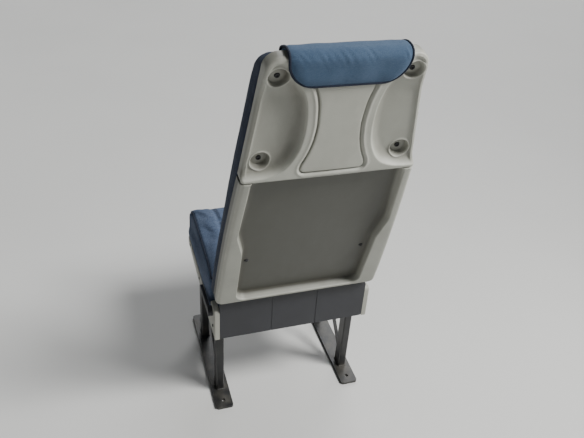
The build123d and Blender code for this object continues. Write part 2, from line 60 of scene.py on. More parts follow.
# %% A socket that can be added and multiplied
class Wire:
    """One socket of a shader. Sums and products of wires add Math nodes."""

    def __init__(self, finish, socket):
        self.finish, self.socket = finish, socket

    def math(self, operation, *others):
        return self.finish.node("Math", {"operation": operation}, (self, *others))

    def __add__(self, other):
        return self.math("ADD", other)

    __radd__ = __add__

    def __mul__(self, other):
        return self.math("MULTIPLY", other)

    __rmul__ = __mul__

    def __sub__(self, other):
        return self.math("SUBTRACT", other)

    def __rsub__(self, other):
        return self * -1 + other

    def step(self, low, high):
        """0 below low and 1 above high, with a smooth rise between them."""
        settings = {"interpolation_type": "SMOOTHSTEP"}
        return self.finish.node("MapRange", settings, {0: self, 1: low, 2: high})


# %% [markdown]
# A finish starts from Blender's Principled shader. What is the same all over is set on the
# shader's own sockets, and only colour, roughness and bump are fed by nodes, because those
# are what an export can bake. Patterns read object coordinates, which every piece here has in
# the seat's own frame, so grain runs on across pieces and no unwrapping is needed.


# %% A finish and its nodes
def linear(code):
    """A colour of the screen, such as b5b1a4, as the linear numbers that shaders use."""
    shares = [int(code[i : i + 2], 16) / 255 for i in (0, 2, 4)]
    return [((c + 0.055) / 1.055) ** 2.4 if c > 0.04 else c / 12.92 for c in shares] + [1]


class Finish:
    """One material: the nodes that lead to its shader."""

    def __init__(self, name, **fixed):
        self.material = bpy.data.materials.new(name)
        self.material.use_nodes = True
        self.tree = self.material.node_tree
        self.shader = self.tree.nodes["Principled BSDF"]
        for socket, value in fixed.items():
            self.shader.inputs[socket.replace("_", " ")].default_value = value
        self.place = self.node("TexCoord", output=3)

    def node(self, kind, settings=(), sockets=(), output=0):
        """Adds a node: its settings first, then its sockets' values or links."""
        made = self.tree.nodes.new("ShaderNode" + kind)
        for name, value in dict(settings).items():
            setattr(made, name, value)
        pairs = sockets.items() if isinstance(sockets, dict) else enumerate(sockets)
        for key, value in pairs:
            self.join(made.inputs[key], value)
        return Wire(self, made.outputs[output])

    def join(self, socket, value):
        if isinstance(value, Wire):
            self.tree.links.new(value.socket, socket)
        else:
            socket.default_value = value

    def feed(self, **values):
        for socket, value in values.items():
            self.join(self.shader.inputs[socket.replace("_", " ")], value)

    def axis(self, index):
        """One coordinate of the place, in metres."""
        return self.node("SeparateXYZ", (), (self.place,), output=index)

    def blotch(self, size, detail=2.0, stretch=(1, 1, 1)):
        """Noise from 0 to 1, whose lumps are about so many millimetres across."""
        spread = [1 / (size * MM * s) for s in stretch]
        place = self.node("VectorMath", {"operation": "MULTIPLY"}, (self.place, spread))
        return self.node("TexNoise", (), {"Vector": place, "Scale": 1.0, "Detail": detail})

    def mark(self, name):
        """A number painted on the mesh's corners when the piece was made."""
        return self.node("Attribute", {"attribute_name": name}, output=2)

    def mix(self, share, first, second, blend="MIX"):
        settings = {"data_type": "RGBA", "blend_type": blend}
        return self.node("Mix", settings, {0: share, 6: first, 7: second}, output=2)

    def bump(self, height, depth, under=None):
        """Raises the surface by so many millimetres where the height is 1."""
        sockets = {"Height": height, "Distance": depth * MM, "Strength": 1.0}
        if under:
            sockets["Normal"] = under
        return self.node("Bump", (), sockets)


print("shader helpers ready")

# %% [markdown]
# ## The plastics
#
# The shells are grained polypropylene in a warm light grey. Up close they show a leathery
# grain about a tenth of a millimetre deep and faint clouds where hands and luggage polish or
# soil it. The grain is noise in the bump. The shells' own code paints three marks on their
# meshes: grime and painted shade where the surface lies deep, wear and painted highlights on
# lips and edges, which are paler, and painted shade that darkens the deeper floors.


# %% Grained plastics
def grained_plastic(name, colour, soiled, roughness, grime_and_shade=True):
    finish = Finish(name, Specular_IOR_Level=0.42)
    cloud = finish.blotch(90, 4)
    smear = finish.blotch(26, 5, stretch=(1, 1, 2.5))
    speck = finish.blotch(2.2, 2)
    tint = finish.mix(cloud.step(0.35, 0.75) * 0.35, linear(colour), linear(soiled))
    tint = finish.mix(speck.step(0.3, 0.8) * 0.10, tint, linear(soiled))
    if grime_and_shade:
        # The grime mark is partly dirt and mostly painted shade in coves, cups, grooves and corners.
        held = finish.mark("grime_and_shade") * (smear.step(0.2, 0.8) * 0.45 + 0.55)
        # The shade mark is painted shade: it darkens the deep floors, which get less light.
        tint = finish.mix(finish.mark("shade"), tint, linear("54554f"))
        tint = finish.mix(held * 0.6, tint, linear("4b463b"))
        # The wear mark is partly rubbed wear and partly painted highlight on the lips.
        worn_and_lit = finish.mark("wear_and_highlight") * (smear.step(0.45, 0.7) * 0.7 + 0.3)
        tint = finish.mix(worn_and_lit * 0.4, tint, linear("dcdad0"))
    grain = finish.blotch(1.1, 3) + finish.blotch(0.45, 1) * 0.5
    rough = smear * 0.14 + (cloud * -0.08 + roughness)
    finish.feed(
        Base_Color=tint,
        Roughness=rough,
        Normal=finish.bump(grain, 0.10, finish.bump(finish.blotch(60, 2), 0.5)),
    )
    return finish


shell_plastic = grained_plastic("shell_plastic", "a9aaa1", "8b8a80", 0.44)
# The lower shell's plastic is a slightly darker copy of the shell plastic: painted shade for the
# down-facing lower run.
shaded_lower_plastic = grained_plastic("lower_shell_plastic_shaded", "a3a49b", "82817a", 0.47)
cover_plastic = grained_plastic("cover_plastic", "a6a69d", "868479", 0.46, grime_and_shade=False)
dark_plastic = grained_plastic("dark_plastic", "35363a", "2a2b2d", 0.5, grime_and_shade=False)
cap_plastic = grained_plastic("cap_plastic", "222326", "17181a", 0.38, grime_and_shade=False)
print("plastics", len(bpy.data.materials))

# %% [markdown]
# ## The steels
#
# Legs, rails and the backrest's hoop are powder coated: nearly black, with an orange peel a
# few millimetres wide, and thin dust that settles on what faces up near the floor. The
# recliner's plates and pins are zinc plated, which shows fine brushing and yellowish clouds.

# %% Powder coat and zinc
powder_coat = Finish("powder_coat", Specular_IOR_Level=0.5)
peel = powder_coat.blotch(2.6, 1)
scuff = powder_coat.blotch(14, 6, stretch=(1, 3, 1)).step(0.60, 0.72)
low = 1 - powder_coat.axis(2).step(0.0, 0.09)
dust = powder_coat.blotch(35, 5).step(0.3, 0.8) * (low * 0.22 + 0.05)
coat_tint = powder_coat.mix(scuff * 0.35, linear("1d1e20"), linear("3d3e40"))
powder_coat.feed(
    Base_Color=powder_coat.mix(dust, coat_tint, linear("8a8578")),
    Roughness=dust * 0.4 + (scuff * 0.15 + 0.36),
    Normal=powder_coat.bump(peel, 0.16),
)

zinc = Finish("zinc_plate")
cloud = zinc.blotch(20, 4)
brushing = zinc.blotch(1.2, 3, stretch=(1, 14, 1))
zinc.feed(
    Base_Color=zinc.mix(cloud.step(0.4, 0.8) * 0.5, linear("b9bbba"), linear("a39a7c")),
    Metallic=1 - cloud.step(0.62, 0.8) * 0.3,
    Roughness=brushing * 0.25 + (cloud * 0.15 + 0.22),
    Normal=zinc.bump(brushing, 0.05),
)
print("steels ready")

# %% [markdown]
# ## The cloths
#
# Seat cloth for buses is a tight flat weave with a short nap. Two sines across each other
# make its threads, 1.6 millimetres apart on the seat. The two directions are mixtures of the
# three coordinates, so the weave stays whole round every corner of a pad.
# Cloth also glows at grazing angles, which the shader's sheen gives, and it fades where
# people rub against it. A slow noise sways the threads, as no loom keeps them quite straight.


# %% Woven cloth
def woven_cloth(name, colour, faded, pitch=1.6, fleck=0.12, depth=0.13, rub=0.55):
    finish = Finish(
        name,
        Sheen_Weight=0.15,
        Sheen_Roughness=0.45,
        Sheen_Tint=linear("b9c4d6"),
        Specular_IOR_Level=0.22,
    )
    x, y, z = (finish.axis(i) for i in range(3))
    turn = 2 * math.pi / (pitch * MM)
    sway = finish.blotch(2.6, 1) * (0.5 * MM)
    warp = ((x + y + sway) * turn).math("SINE")
    weft = ((z + (x - y) * 0.5 + sway) * turn).math("SINE")
    thread = warp * weft * 0.5 + 0.5
    yarn = finish.blotch(1.0, 2, stretch=(5, 5, 1)).step(0.3, 0.7)
    rubbed = finish.blotch(120, 4).step(0.35, 0.8)
    tint = finish.mix(rubbed * rub, linear(colour), linear(faded))
    tint = finish.mix(yarn * thread * fleck, tint, linear("93a3b8"))
    tint = finish.mix((1 - thread) * 0.22, tint, linear("10141c"))
    pile = thread + finish.blotch(0.6, 1) * 0.6
    finish.feed(
        Base_Color=tint,
        Roughness=rubbed * -0.08 + 0.88,
        Normal=finish.bump(pile, depth, finish.bump(finish.blotch(28, 4), 1.0)),
    )
    return finish


seat_cloth = woven_cloth("seat_cloth", "3d4c66", "55647d", fleck=0.35)
bolster_cloth = woven_cloth("bolster_cloth", "21283a", "2b3347")
headrest_cloth = woven_cloth("headrest_cloth", "41566f", "566b84", rub=0.35)
piping_cloth = woven_cloth("piping_cloth", "161b2b", "222a3f", pitch=1.1, fleck=0.08)
thread_finish = woven_cloth("thread", "2a3350", "39456a", pitch=0.8, fleck=0.1, depth=0.08)
print("cloths ready")

# %% [markdown]
# ## Meshes from millimetres
#
# Every piece below ends the same way: points and faces become a mesh, get a finish, and ride
# on one of the part's two bodies, so the recliner carries them. The helper takes millimetres.


# %% Add a piece
def add_piece(name, points, faces, finish, body, stands_for=(), marks=()):
    mesh = bpy.data.meshes.new(name)
    mesh.from_pydata((np.asarray(points, float) * MM).tolist(), [], [list(f) for f in faces])
    mesh.validate()
    mesh.shade_smooth()
    for mark, values in dict(marks).items():
        layer = mesh.attributes.new(mark, "FLOAT", "POINT")
        layer.data.foreach_set("value", np.asarray(values, np.float32))
    piece = bpy.data.objects.new(name, mesh)
    bpy.context.scene.collection.objects.link(piece)
    return dress(piece, finish, body, stands_for)


def dress(piece, finish, body, stands_for=()):
    piece.data.materials.clear()
    piece.data.materials.append(finish.material)
    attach(piece, body)
    if stands_for:
        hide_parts(*stands_for)
    return piece


# %% [markdown]
# ## How the rear face is laid out
#
# Seen from the side, the rear of the backrest is two flat runs that meet at a ridge. Moulded
# details are easiest to draw flat, like on the drawing of a tool, so every outline below is
# in two numbers: x across, and how far up the run from the ridge. One function then stands
# the flat drawing up, at a depth below the face. The sizes are those of the CAD part.

# %% The two runs
RIDGE = np.array((0, -336.025, 828.0))
RIDGE_HALF, SHOULDER_HALF, FOOT_HALF = 190, 155, 216
UPPER_RISE, LOWER_RISE = 272, 433
UPPER_LEAN, LOWER_LEAN = math.radians(9.8), math.radians(17.5)
UPPER_RUN, LOWER_RUN = UPPER_RISE / math.cos(UPPER_LEAN), LOWER_RISE / math.cos(LOWER_LEAN)


def stand_up(flat, depth, lean):
    """Points of the flat drawing as points of the seat, in millimetres."""
    flat = np.asarray(flat, float)
    up = np.array((0, -math.sin(lean), math.cos(lean)))
    inward = np.array((0, math.cos(lean), math.sin(lean)))
    across = np.array((1.0, 0, 0))
    depth = np.broadcast_to(depth, len(flat))
    return RIDGE + np.outer(flat[:, 0], across) + np.outer(flat[:, 1], up) + np.outer(depth, inward)


print("runs above and below the ridge", round(UPPER_RUN, 1), round(LOWER_RUN, 1))


# %% Drawing outlines
def resampled(line, step, closed=False):
    """The same line with its points at even steps."""
    line = np.asarray(line, float)
    if closed:
        line = np.vstack((line, line[:1]))
    gaps = np.linalg.norm(np.diff(line, axis=0), axis=1)
    along = np.concatenate(((0,), np.cumsum(gaps)))
    count = max(2, round(along[-1] / step))
    spots = np.linspace(0, along[-1], count + 1)
    made = np.column_stack([np.interp(spots, along, line[:, i]) for i in range(line.shape[1])])
    return made[:-1] if closed else made


def rounded(corners, radii):
    """A closed outline through the corners, each rounded by its radius."""
    corners = [Vector(c) for c in corners]
    line = []
    for i, corner in enumerate(corners):
        back = (corners[i - 1] - corner).normalized()
        ahead = (corners[(i + 1) % len(corners)] - corner).normalized()
        half = back.angle(ahead) / 2
        reach = radii[i] / math.tan(half)
        centre = corner + (back + ahead).normalized() * (radii[i] / math.sin(half))
        start, end = corner + back * reach - centre, corner + ahead * reach - centre
        sweep = start.angle_signed(end) if radii[i] else 0
        for k in range(13 if radii[i] else 1):
            angle = -sweep * k / 12
            c, s = math.cos(angle), math.sin(angle)
            line.append(centre + Vector((start.x * c - start.y * s, start.x * s + start.y * c)))
    return np.array([tuple(p) for p in line])


def smooth_line(points, steps=12):
    """A smooth line through the points (Catmull-Rom)."""
    p = np.asarray(points, float)
    p = np.vstack((2 * p[0] - p[1], p, 2 * p[-1] - p[-2]))
    line = []
    for i in range(1, len(p) - 2):
        for t in np.linspace(0, 1, steps, endpoint=False):
            a = 2 * p[i] + (p[i + 1] - p[i - 1]) * t
            b = (2 * p[i - 1] - 5 * p[i] + 4 * p[i + 1] - p[i + 2]) * t**2
            c = (3 * p[i] - p[i - 1] - 3 * p[i + 1] + p[i + 2]) * t**3
            line.append((a + b + c) / 2)
    return np.vstack((line, p[-2]))


def mirrored(line):
    return np.asarray(line, float)[::-1] * (-1, 1)


square = [(0, 0), (30, 0), (30, 30), (0, 30)]
print("points round a square with round corners", len(rounded(square, (5, 5, 5, 5))))


# %% Distances and sides
def distance(points, line, closed=False):
    """How far each point is from the line."""
    a = np.asarray(line, float)
    b = np.roll(a, -1, axis=0) if closed else a[1:]
    a = a if closed else a[:-1]
    run = b - a
    size = np.maximum((run**2).sum(1), 1e-12)
    nearest = np.full(len(points), 1e9)
    for start in range(0, len(points), 4000):
        p = points[start : start + 4000, None, :]
        share = np.clip(((p - a) * run).sum(2) / size, 0, 1)
        gap = p - (a + share[..., None] * run)
        nearest[start : start + 4000] = np.sqrt((gap**2).sum(2)).min(1)
    return nearest


def inside(points, outline):
    """Which points lie inside the closed outline."""
    odd = np.zeros(len(points), bool)
    x, y = points[:, 0], points[:, 1]
    for (x0, y0), (x1, y1) in zip(outline, np.roll(outline, -1, axis=0)):
        if y0 != y1:
            odd ^= ((y0 > y) != (y1 > y)) & (x < (x1 - x0) * (y - y0) / (y1 - y0) + x0)
    return odd


def depth_inside(points, outline):
    """Distance from the outline, positive inside it and negative outside."""
    return distance(points, outline, closed=True) * np.where(inside(points, outline), 1, -1)


print("drawing helpers ready")

# %% [markdown]
# ## From a drawing to a moulding
#
# A moulding is one skin with lands, hollows and grooves at different depths. A plain grid
# would cut its curved edges into steps. Here a Delaunay triangulation fills the outline
# instead, and lines that follow each edge at several distances are handed to it, so the
# triangles run along the edges and take light as a moulding does. The rim is added as rings
# that roll over the outer edge and run forward to the padding.


# %% Fill an outline
def filled(outline, lines, spacing):
    """Flat points and triangles that fill the outline and follow the lines."""
    points = [tuple(p) for p in outline]
    edges = [(i, (i + 1) % len(points)) for i in range(len(points))]
    for line in lines:
        keep = inside(line, outline) & (distance(line, outline, closed=True) > 0.5)
        for i, spot in enumerate(line):
            if keep[i]:
                points.append(tuple(spot))
                if i and keep[i - 1]:
                    edges.append((len(points) - 2, len(points) - 1))
    tree = KDTree(len(points))
    for i, (x, y) in enumerate(points):
        tree.insert((x, y, 0), i)
    tree.balance()
    low, high = outline.min(0), outline.max(0)
    rows = np.arange(low[1], high[1], spacing * 0.87)
    grid = [
        (x + (spacing / 2 if row % 2 else 0), y)
        for row, y in enumerate(rows)
        for x in np.arange(low[0], high[0], spacing)
    ]
    grid = np.array(grid)
    grid = grid[inside(grid, outline)]
    points += [(x, y) for x, y in grid if tree.find((x, y, 0))[2] > spacing * 0.6]
    flat, _, faces, origins, _, _ = delaunay_2d_cdt([Vector(p) for p in points], edges, [], 1, 1e-4)
    place = {o: i for i, group in enumerate(origins) for o in group}
    border = [place[i] for i in range(len(outline))]
    return np.array([tuple(p) for p in flat]), faces, border


print("triangles in the square", len(filled(resampled(square, 5, closed=True), [], 5)[1]))


# %% Lines beside a line
def offsets(line, distances, closed=True):
    """Copies of a line at distances to its left."""
    line = np.asarray(line, float)
    if closed:
        run = np.roll(line, -1, axis=0) - np.roll(line, 1, axis=0)
    else:
        run = np.gradient(line, axis=0)
    left = np.column_stack((-run[:, 1], run[:, 0]))
    left /= np.linalg.norm(left, axis=1)[:, None]
    made = [line + left * d for d in distances]
    return [np.vstack((m, m[:1])) for m in made] if closed else made


print("a line 2 mm to the left", offsets([(0, 0), (10, 0)], [2], closed=False)[0].tolist())


# %% A skin with its rim
def moulding(outline, lines, spacing, depth_of, edge, rim, lean, seam=None):
    """A skin over the outline, with a rolled edge and a rim. Returns points, faces, flat, depth.

    A seam gives the highest rise at each depth. The edge at rise 0 isn't rolled then.
    """
    inner = offsets(outline, [edge])[0][:-1]
    if seam is not None:
        square = outline[:, 1] > -1e-6
        inner[square] = outline[square] * (1 - edge / outline[:, 0].max(), 1)
    flat, faces, border = filled(inner, lines, spacing)
    faces = [tuple(f) for f in faces]
    depth = depth_of(flat)
    outward = outline - inner
    ring, start = flat[border], depth[border]
    rolls = [(math.sin(a), 1 - math.cos(a)) for a in np.linspace(0, math.pi / 2, 7)[1:]]
    steps = [(reach, start + edge * drop) for reach, drop in rolls]
    wall = steps[-1][1]
    steps += [(1.0, wall + (np.maximum(rim, wall + 1) - wall) * share) for share in (0.35, 0.7, 1)]
    last = border
    for reach, deep in steps:
        first = len(flat)
        flat = np.vstack((flat, ring + outward * reach))
        depth = np.concatenate((depth, deep))
        fresh = list(range(first, first + len(border)))
        for i in range(len(border)):
            j = (i + 1) % len(border)
            faces.append((last[i], fresh[i], fresh[j], last[j]))
        last = fresh
    if seam is not None:
        flat[:, 1] = np.minimum(flat[:, 1], seam(depth))
    return stand_up(flat, depth, lean), faces, flat, depth


lid = moulding(resampled(square, 5, closed=True), [], 5, lambda flat: flat[:, 0] * 0, 3, 8, 0)
print("faces of a square lid", len(lid[1]))


# %% Round corners and coves
def blend_max(a, b, soft):
    """The larger of two depths, with the corner between them rounded."""
    share = np.clip(0.5 + 0.5 * (a - b) / soft, 0, 1)
    return b + (a - b) * share + soft * share * (1 - share)


def cove(into, width):
    """Share of the full depth at a distance in from the edge: steep first, then flat."""
    t = np.clip(into / width, 0, 1)
    return 1 - (1 - t) ** 2.4


print("cove at a quarter of its width", round(float(cove(5, 20)), 2))

# %% [markdown]
# ## The upper shell
#
# This is the part the photograph shows best. Two hollow cheeks leave a waisted land between
# them. Each cheek has a firm upper edge, a soft cove and a floor that rises towards the outer
# edge, where it ends in a low lip. Two screw cups are sunk in each floor. The land carries a
# waisted panel behind a groove. All of it is one function: the depth at a flat point. The
# cheek on the aisle side is painted darker and browner, as painted shade: the light comes from
# the window side.

# %% Outlines of the upper shell
shoulder = rounded(
    [(RIDGE_HALF, 0), (SHOULDER_HALF, UPPER_RUN), (-SHOULDER_HALF, UPPER_RUN), (-RIDGE_HALF, 0)],
    (8, 30, 30, 8),
)
shoulder = resampled(shoulder, 3.0, closed=True)

CHEEK_WAIST = 69
cheek_wall = smooth_line(
    [
        (250, 6), (205, 8), (165, 9), (134, 13), (110, 23), (95, 37), (84, 55), (75, 78),
        (70, 108), (CHEEK_WAIST, 135), (70.5, 162), (75, 187), (82, 207), (92, 226),
        (104, 244), (116, 262), (128, 285),
    ]
)
cheek_wall = resampled(cheek_wall, 2.0)
right_cheek = np.vstack((cheek_wall, (250, 330)))
cheeks = [right_cheek, right_cheek * (-1, 1)]

PANEL_FOOT = 15
panel_half = smooth_line(
    [(69, 238), (60, 215), (50, 180), (46, 140), (46.5, 115), (50, 88), (58, 60), (68, 37)]
)
panel_corners = rounded([(68, 37), (72, PANEL_FOOT), (-72, PANEL_FOOT), (-68, 37)], (0, 12, 12, 0))
panel_outline = np.vstack((panel_half, panel_corners, mirrored(panel_half)))
panel_outline = resampled(panel_outline, 2.0, closed=True)[::-1]

SIDES = {"left": -1, "right": 1}
CUPS = [(side * x, rise) for side in SIDES.values() for x, rise in ((132, UPPER_RUN - 40), (150, 46))]
CUP_MOUTH, CUP_FLOOR, CUP_DEPTH = 20.0, 16.5, 10.0
LIP_AT, CUP_LIP_OUT, GROOVE_LIP_OUT = 7.5, 1.7, 7.2
print("cheek wall points", len(cheek_wall), "panel points", len(panel_outline))


# %% Depth of the upper shell
def cheek_floor(x, rise):
    """The floor falls towards the inner wall, and runs out into the shoulder above."""
    fade = np.clip((UPPER_RUN - 22 - rise) / 70, 0, 1)
    fall = 10 * (RIDGE_HALF - np.abs(x)) / (RIDGE_HALF - CHEEK_WAIST)
    return (14 + fall) * (0.3 + 0.7 * fade * fade * (3 - 2 * fade))


def into_cheek(flat):
    """Distance from the cheeks' walls, positive inside a cheek."""
    return np.maximum(*[distance(flat, c[:-1]) * np.where(inside(flat, c), 1, -1) for c in cheeks])


def from_cup(flat):
    """Distance from the axis of the nearest cup."""
    return np.min([np.hypot(flat[:, 0] - x, flat[:, 1] - rise) for x, rise in CUPS], axis=0)


def hump(values, middle, width):
    """1 at the middle, and smoothly down to 0 within about two widths."""
    return np.exp(-(((values - middle) / width) ** 2))


def upper_depth(flat):
    x, rise = flat[:, 0], flat[:, 1]
    into = into_cheek(flat)
    floor = cheek_floor(x, rise)
    depth = floor * cove(blend_max(into, -0.6 + 0 * into, 2.0), 26)
    edge = depth_inside(flat, shoulder)
    beside_flap = np.clip((np.abs(x) - 122) / 12, 0, 1)
    beside_cups = np.clip((from_cup(flat) - CUP_MOUTH - 1) / 7, 0, 1)
    lip = 3.4 * hump(edge, LIP_AT, 2.4) * np.clip((rise - 14) / 8, 0, 1)
    depth = depth - lip * beside_flap * beside_cups
    for cup_x, cup_rise in CUPS:
        out = np.hypot(x - cup_x, rise - cup_rise)
        cone = floor + CUP_DEPTH - np.maximum(out - CUP_FLOOR, 0) * CUP_DEPTH / (CUP_MOUTH - CUP_FLOOR)
        depth = blend_max(depth, np.where(out < 30, cone, -50), 1.2)
        depth = depth - 1.9 * hump(out, CUP_MOUTH + CUP_LIP_OUT, 1.5)
    groove = depth_inside(flat, panel_outline)
    depth = depth - 1.0 * hump(groove, -GROOVE_LIP_OUT, 2.4)
    return depth + 5.5 * np.clip((groove + 5.2) / 5.2, 0, 1) ** 1.6


print("depths of land, cheek and cup", upper_depth(np.array([(58, 135), (110, 140), CUPS[3]])).round(1))

# %% Skin of the upper shell
RIM = 32
lines = []
for cheek, inward in zip(cheeks, (-1, 1)):
    steps = [inward * d for d in (-3, -1.5, 0, 1.2, 2.6, 5, 9, 14, 21, 29)]
    lines += offsets(cheek[:-1], steps, closed=False)
turn = np.linspace(0, 2 * math.pi, 61)
circle = np.column_stack((np.cos(turn), np.sin(turn)))
for cup in CUPS:
    for radius in (4, 8, 13, 15.8, 16.8, 18.3, 19.6, 20.6, 21.8, 23, 25):
        lines.append(circle * radius + cup)
lines += offsets(shoulder, (LIP_AT, 9, 10.5, 12.5))
lines += offsets(
    panel_outline, (-10, -8.4, -GROOVE_LIP_OUT, -6.2, -5.2, -4.2, -3.2, -2.2, -1.2, -0.4, 0.4, 3)
)

points, faces, flat, depth = moulding(
    shoulder, lines, 3.4, upper_depth, edge=6, rim=RIM, lean=UPPER_LEAN
)
print("upper shell faces", len(faces))

# %% Marks on the upper shell
cup_out = from_cup(flat)
# Painted shade: the cove, cup and aisle marks darken the cheeks' coves, the cup walls and the aisle cheek,
# and the shade mark darkens the deep floors. The lip marks are painted highlights.
cove_painted_shade = hump(into_cheek(flat), 12, 11) * np.clip(depth / 14, 0, 1)
cup_painted_shade = np.clip(1 - np.abs(cup_out - 15) / 5, 0, 1)
aisle_painted_shade = np.clip(-flat[:, 0] / 60, 0, 1) * np.clip(depth / 12, 0, 1)
lip_highlights = np.maximum(
    hump(depth_inside(flat, panel_outline), -GROOVE_LIP_OUT, 1.8),
    hump(cup_out, CUP_MOUTH + CUP_LIP_OUT, 1.4),
)
marks = {
    "grime_and_shade": cove_painted_shade * 0.7 + cup_painted_shade * 0.6 + aisle_painted_shade * 0.35,
    "wear_and_highlight": np.maximum(0.8 * np.clip(1 - np.abs(depth - 2.5) / 3, 0, 1), lip_highlights),
    "shade": 0.16 * np.clip((depth - 8) / 10, 0, 1),
}
add_piece(
    "upper_shell", points, faces, shell_plastic, "backrest", ["back_shell_upper"], marks
)
print("points with grime", int((marks["grime_and_shade"] > 0.3).sum()), "and wear", int((marks["wear_and_highlight"] > 0.3).sum()))

# %% [markdown]
# ## The panel and its groove
#
# The waisted panel is a separate moulding on the real seat, dropped into its recess with a
# shadow gap all round. It gets its own skin with a small rolled edge, a hair below the land.

# %% Waisted panel
panel_edge = offsets(panel_outline, [1.6])[0][:-1]


def panel_depth(flat):
    return 0.4 + 0.7 * (flat[:, 0] / 70) ** 2


points, faces, flat, depth = moulding(
    panel_edge, [], 4.5, panel_depth, edge=3.4, rim=5.0, lean=UPPER_LEAN
)
# The grime mark here is painted shade where the panel's edge rolls down into its groove; the wear mark
# pales its edge, partly as painted highlight.
marks = {
    "grime_and_shade": np.clip((depth - 1.8) / 2, 0, 1) * 0.5,
    "wear_and_highlight": np.clip(1 - np.abs(depth - 0.9) / 0.8, 0, 1) * 0.4,
}
add_piece(
    "waisted_panel", points, faces, shell_plastic, "backrest", ["centre_panel"], marks
)
print("panel faces", len(faces))

# %% [markdown]
# ## The lower shell
#
# Below the ridge the moulding is one large shallow tray: wide beside the knees, narrower
# lower down, with a soft wall all round and a ledge at its foot. Its outer edge is rolled
# generously, because knees and luggage meet it there. The top of the skin is trimmed along
# the seam, which leans a little against this run.

# %% Outlines of the lower shell
SPREAD, BOW = FOOT_HALF - RIDGE_HALF, 16
bow = [(RIDGE_HALF + SPREAD * s + BOW * s * (1 - s), -LOWER_RUN * s) for s in np.linspace(0, 1, 24)]
foot_corners = [bow[-2], bow[-1], (-bow[-1][0], bow[-1][1]), (-bow[-2][0], bow[-2][1])]
foot = rounded(foot_corners, (0, 18, 18, 0))
lower_half = np.array(bow)[:-1]
lower_outline = np.vstack(
    ((-RIDGE_HALF, 0), (RIDGE_HALF, 0), lower_half[1:], foot[1:-1], mirrored(lower_half)[:-1])
)
lower_outline = resampled(lower_outline, 3.0, closed=True)[::-1]

TRAY_DEPTH, TRAY_TOP, TRAY_FOOT = 22, 12, 13 - LOWER_RUN
tray_half = [(168, TRAY_TOP), (181, -178), (165, -243), (165, TRAY_FOOT)]
tray_radii = (26, 50, 50, 26)
tray = rounded([*tray_half, *((-x, rise) for x, rise in tray_half[::-1])], tray_radii * 2)
tray = resampled(tray, 3.0, closed=True)[::-1]
print("tray points", len(tray))


# %% Depth and skin of the lower shell
def lower_depth(flat):
    into = depth_inside(flat, tray)
    width = 10 + 12 * np.clip(1 + flat[:, 1] / 240, 0, 1)
    depth = TRAY_DEPTH * cove(blend_max(into, -0.6 + 0 * into, 3.0), width)
    crown = np.clip(1 - (flat[:, 0] / RIDGE_HALF) ** 2, 0, 1) * np.clip(into / 60, 0, 1)
    return depth - 3.0 * crown


def ridge_seam(depth):
    """The upper shell leans forward less, so the seam drops as it goes in."""
    return -0.3 - 0.135 * depth


points, faces, flat, depth = moulding(
    lower_outline,
    offsets(tray, (-4, -2.4, -1.2, 0, 1.2, 2.4, 3.8, 5.4, 7.4, 9.8, 13, 17, 22)),
    6.0,
    lower_depth,
    edge=11,
    rim=RIM,
    lean=LOWER_LEAN,
    seam=ridge_seam,
)
# Painted shade: the grime and shade marks darken the tray's corners and floor, more so lower down, where
# less light reaches.
corner = np.clip(1 - np.abs(depth_inside(flat, tray) - 8) / 12, 0, 1)
lower_part_shade = np.clip(-flat[:, 1] / LOWER_RUN, 0, 1)
marks = {
    "grime_and_shade": corner * (0.35 + 0.4 * lower_part_shade) + 0.25 * np.clip(depth / 20, 0, 1),
    "wear_and_highlight": np.clip(1 - np.abs(depth - 3) / 3, 0, 1),
    "shade": np.clip((depth - 12) / 6, 0, 1),
}
add_piece(
    "lower_shell", points, faces, shaded_lower_plastic, "backrest",
    ["back_shell_lower"], marks,
)
print("lower shell faces", len(faces))

# %% [markdown]
# ## Screws in their cups
#
# Each cup holds a black button head screw. A screw is a turned shape, so its profile is spun
# round the cup's axis. Only its socket has six sides, which the profile says per ring.


# %% Turned shapes
def tube_faces(rings, count, closed=False, capped=True):
    """Faces that join rings of so many points each."""
    faces = []
    for ring in range(rings if closed else rings - 1):
        for k in range(count):
            a, b = ring * count + k, ring * count + (k + 1) % count
            c = ((ring + 1) % rings) * count
            faces.append((a, b, c + (k + 1) % count, c + k))
    if capped and not closed:
        faces += [tuple(range(count))[::-1], tuple(range((rings - 1) * count, rings * count))]
    return faces


def turned(profile, count=36, capped=True):
    """Points and faces of a profile spun round z. A ring is radius, height and sides."""
    points = []
    for radius, height, sides in profile:
        for k in range(count):
            angle = 2 * math.pi * k / count
            flat_side = math.cos(math.pi / sides) if sides else 1
            within = (angle + math.pi / sides) % (2 * math.pi / sides) - math.pi / sides if sides else 0
            reach = radius * flat_side / math.cos(within)
            points.append((reach * math.cos(angle), reach * math.sin(angle), height))
    return np.array(points), tube_faces(len(profile), count, capped=capped)


def turned_at(profile, spot, out, size=1.0, **form):
    """A turned shape on a spot, looking out from it."""
    turn = np.array(Vector(out).to_track_quat("Z", "Y").to_matrix())
    points, faces = turned(profile, **form)
    return points * size @ turn.T + spot, faces


def gathered(parts):
    """Several shapes as one."""
    points, faces = [], []
    for part_points, part_faces in parts:
        first = sum(len(p) for p in points)
        points.append(part_points)
        faces += [tuple(i + first for i in face) for face in part_faces]
    return np.vstack(points), faces


print("faces of a plain drum", len(turned([(5, 0, 0), (5, 2, 0)])[1]))

# %% Screws of the shell
SCREW = [
    (5.6, -0.8, 0), (5.6, 0.6, 0), (5.3, 1.6, 0), (4.6, 2.2, 0), (3.5, 2.5, 0), (3.0, 2.5, 6),
    (2.8, 2.2, 6), (2.6, 0.4, 6), (0.4, 0.2, 6),
]
CUP_TILT = math.atan(9 / 121)


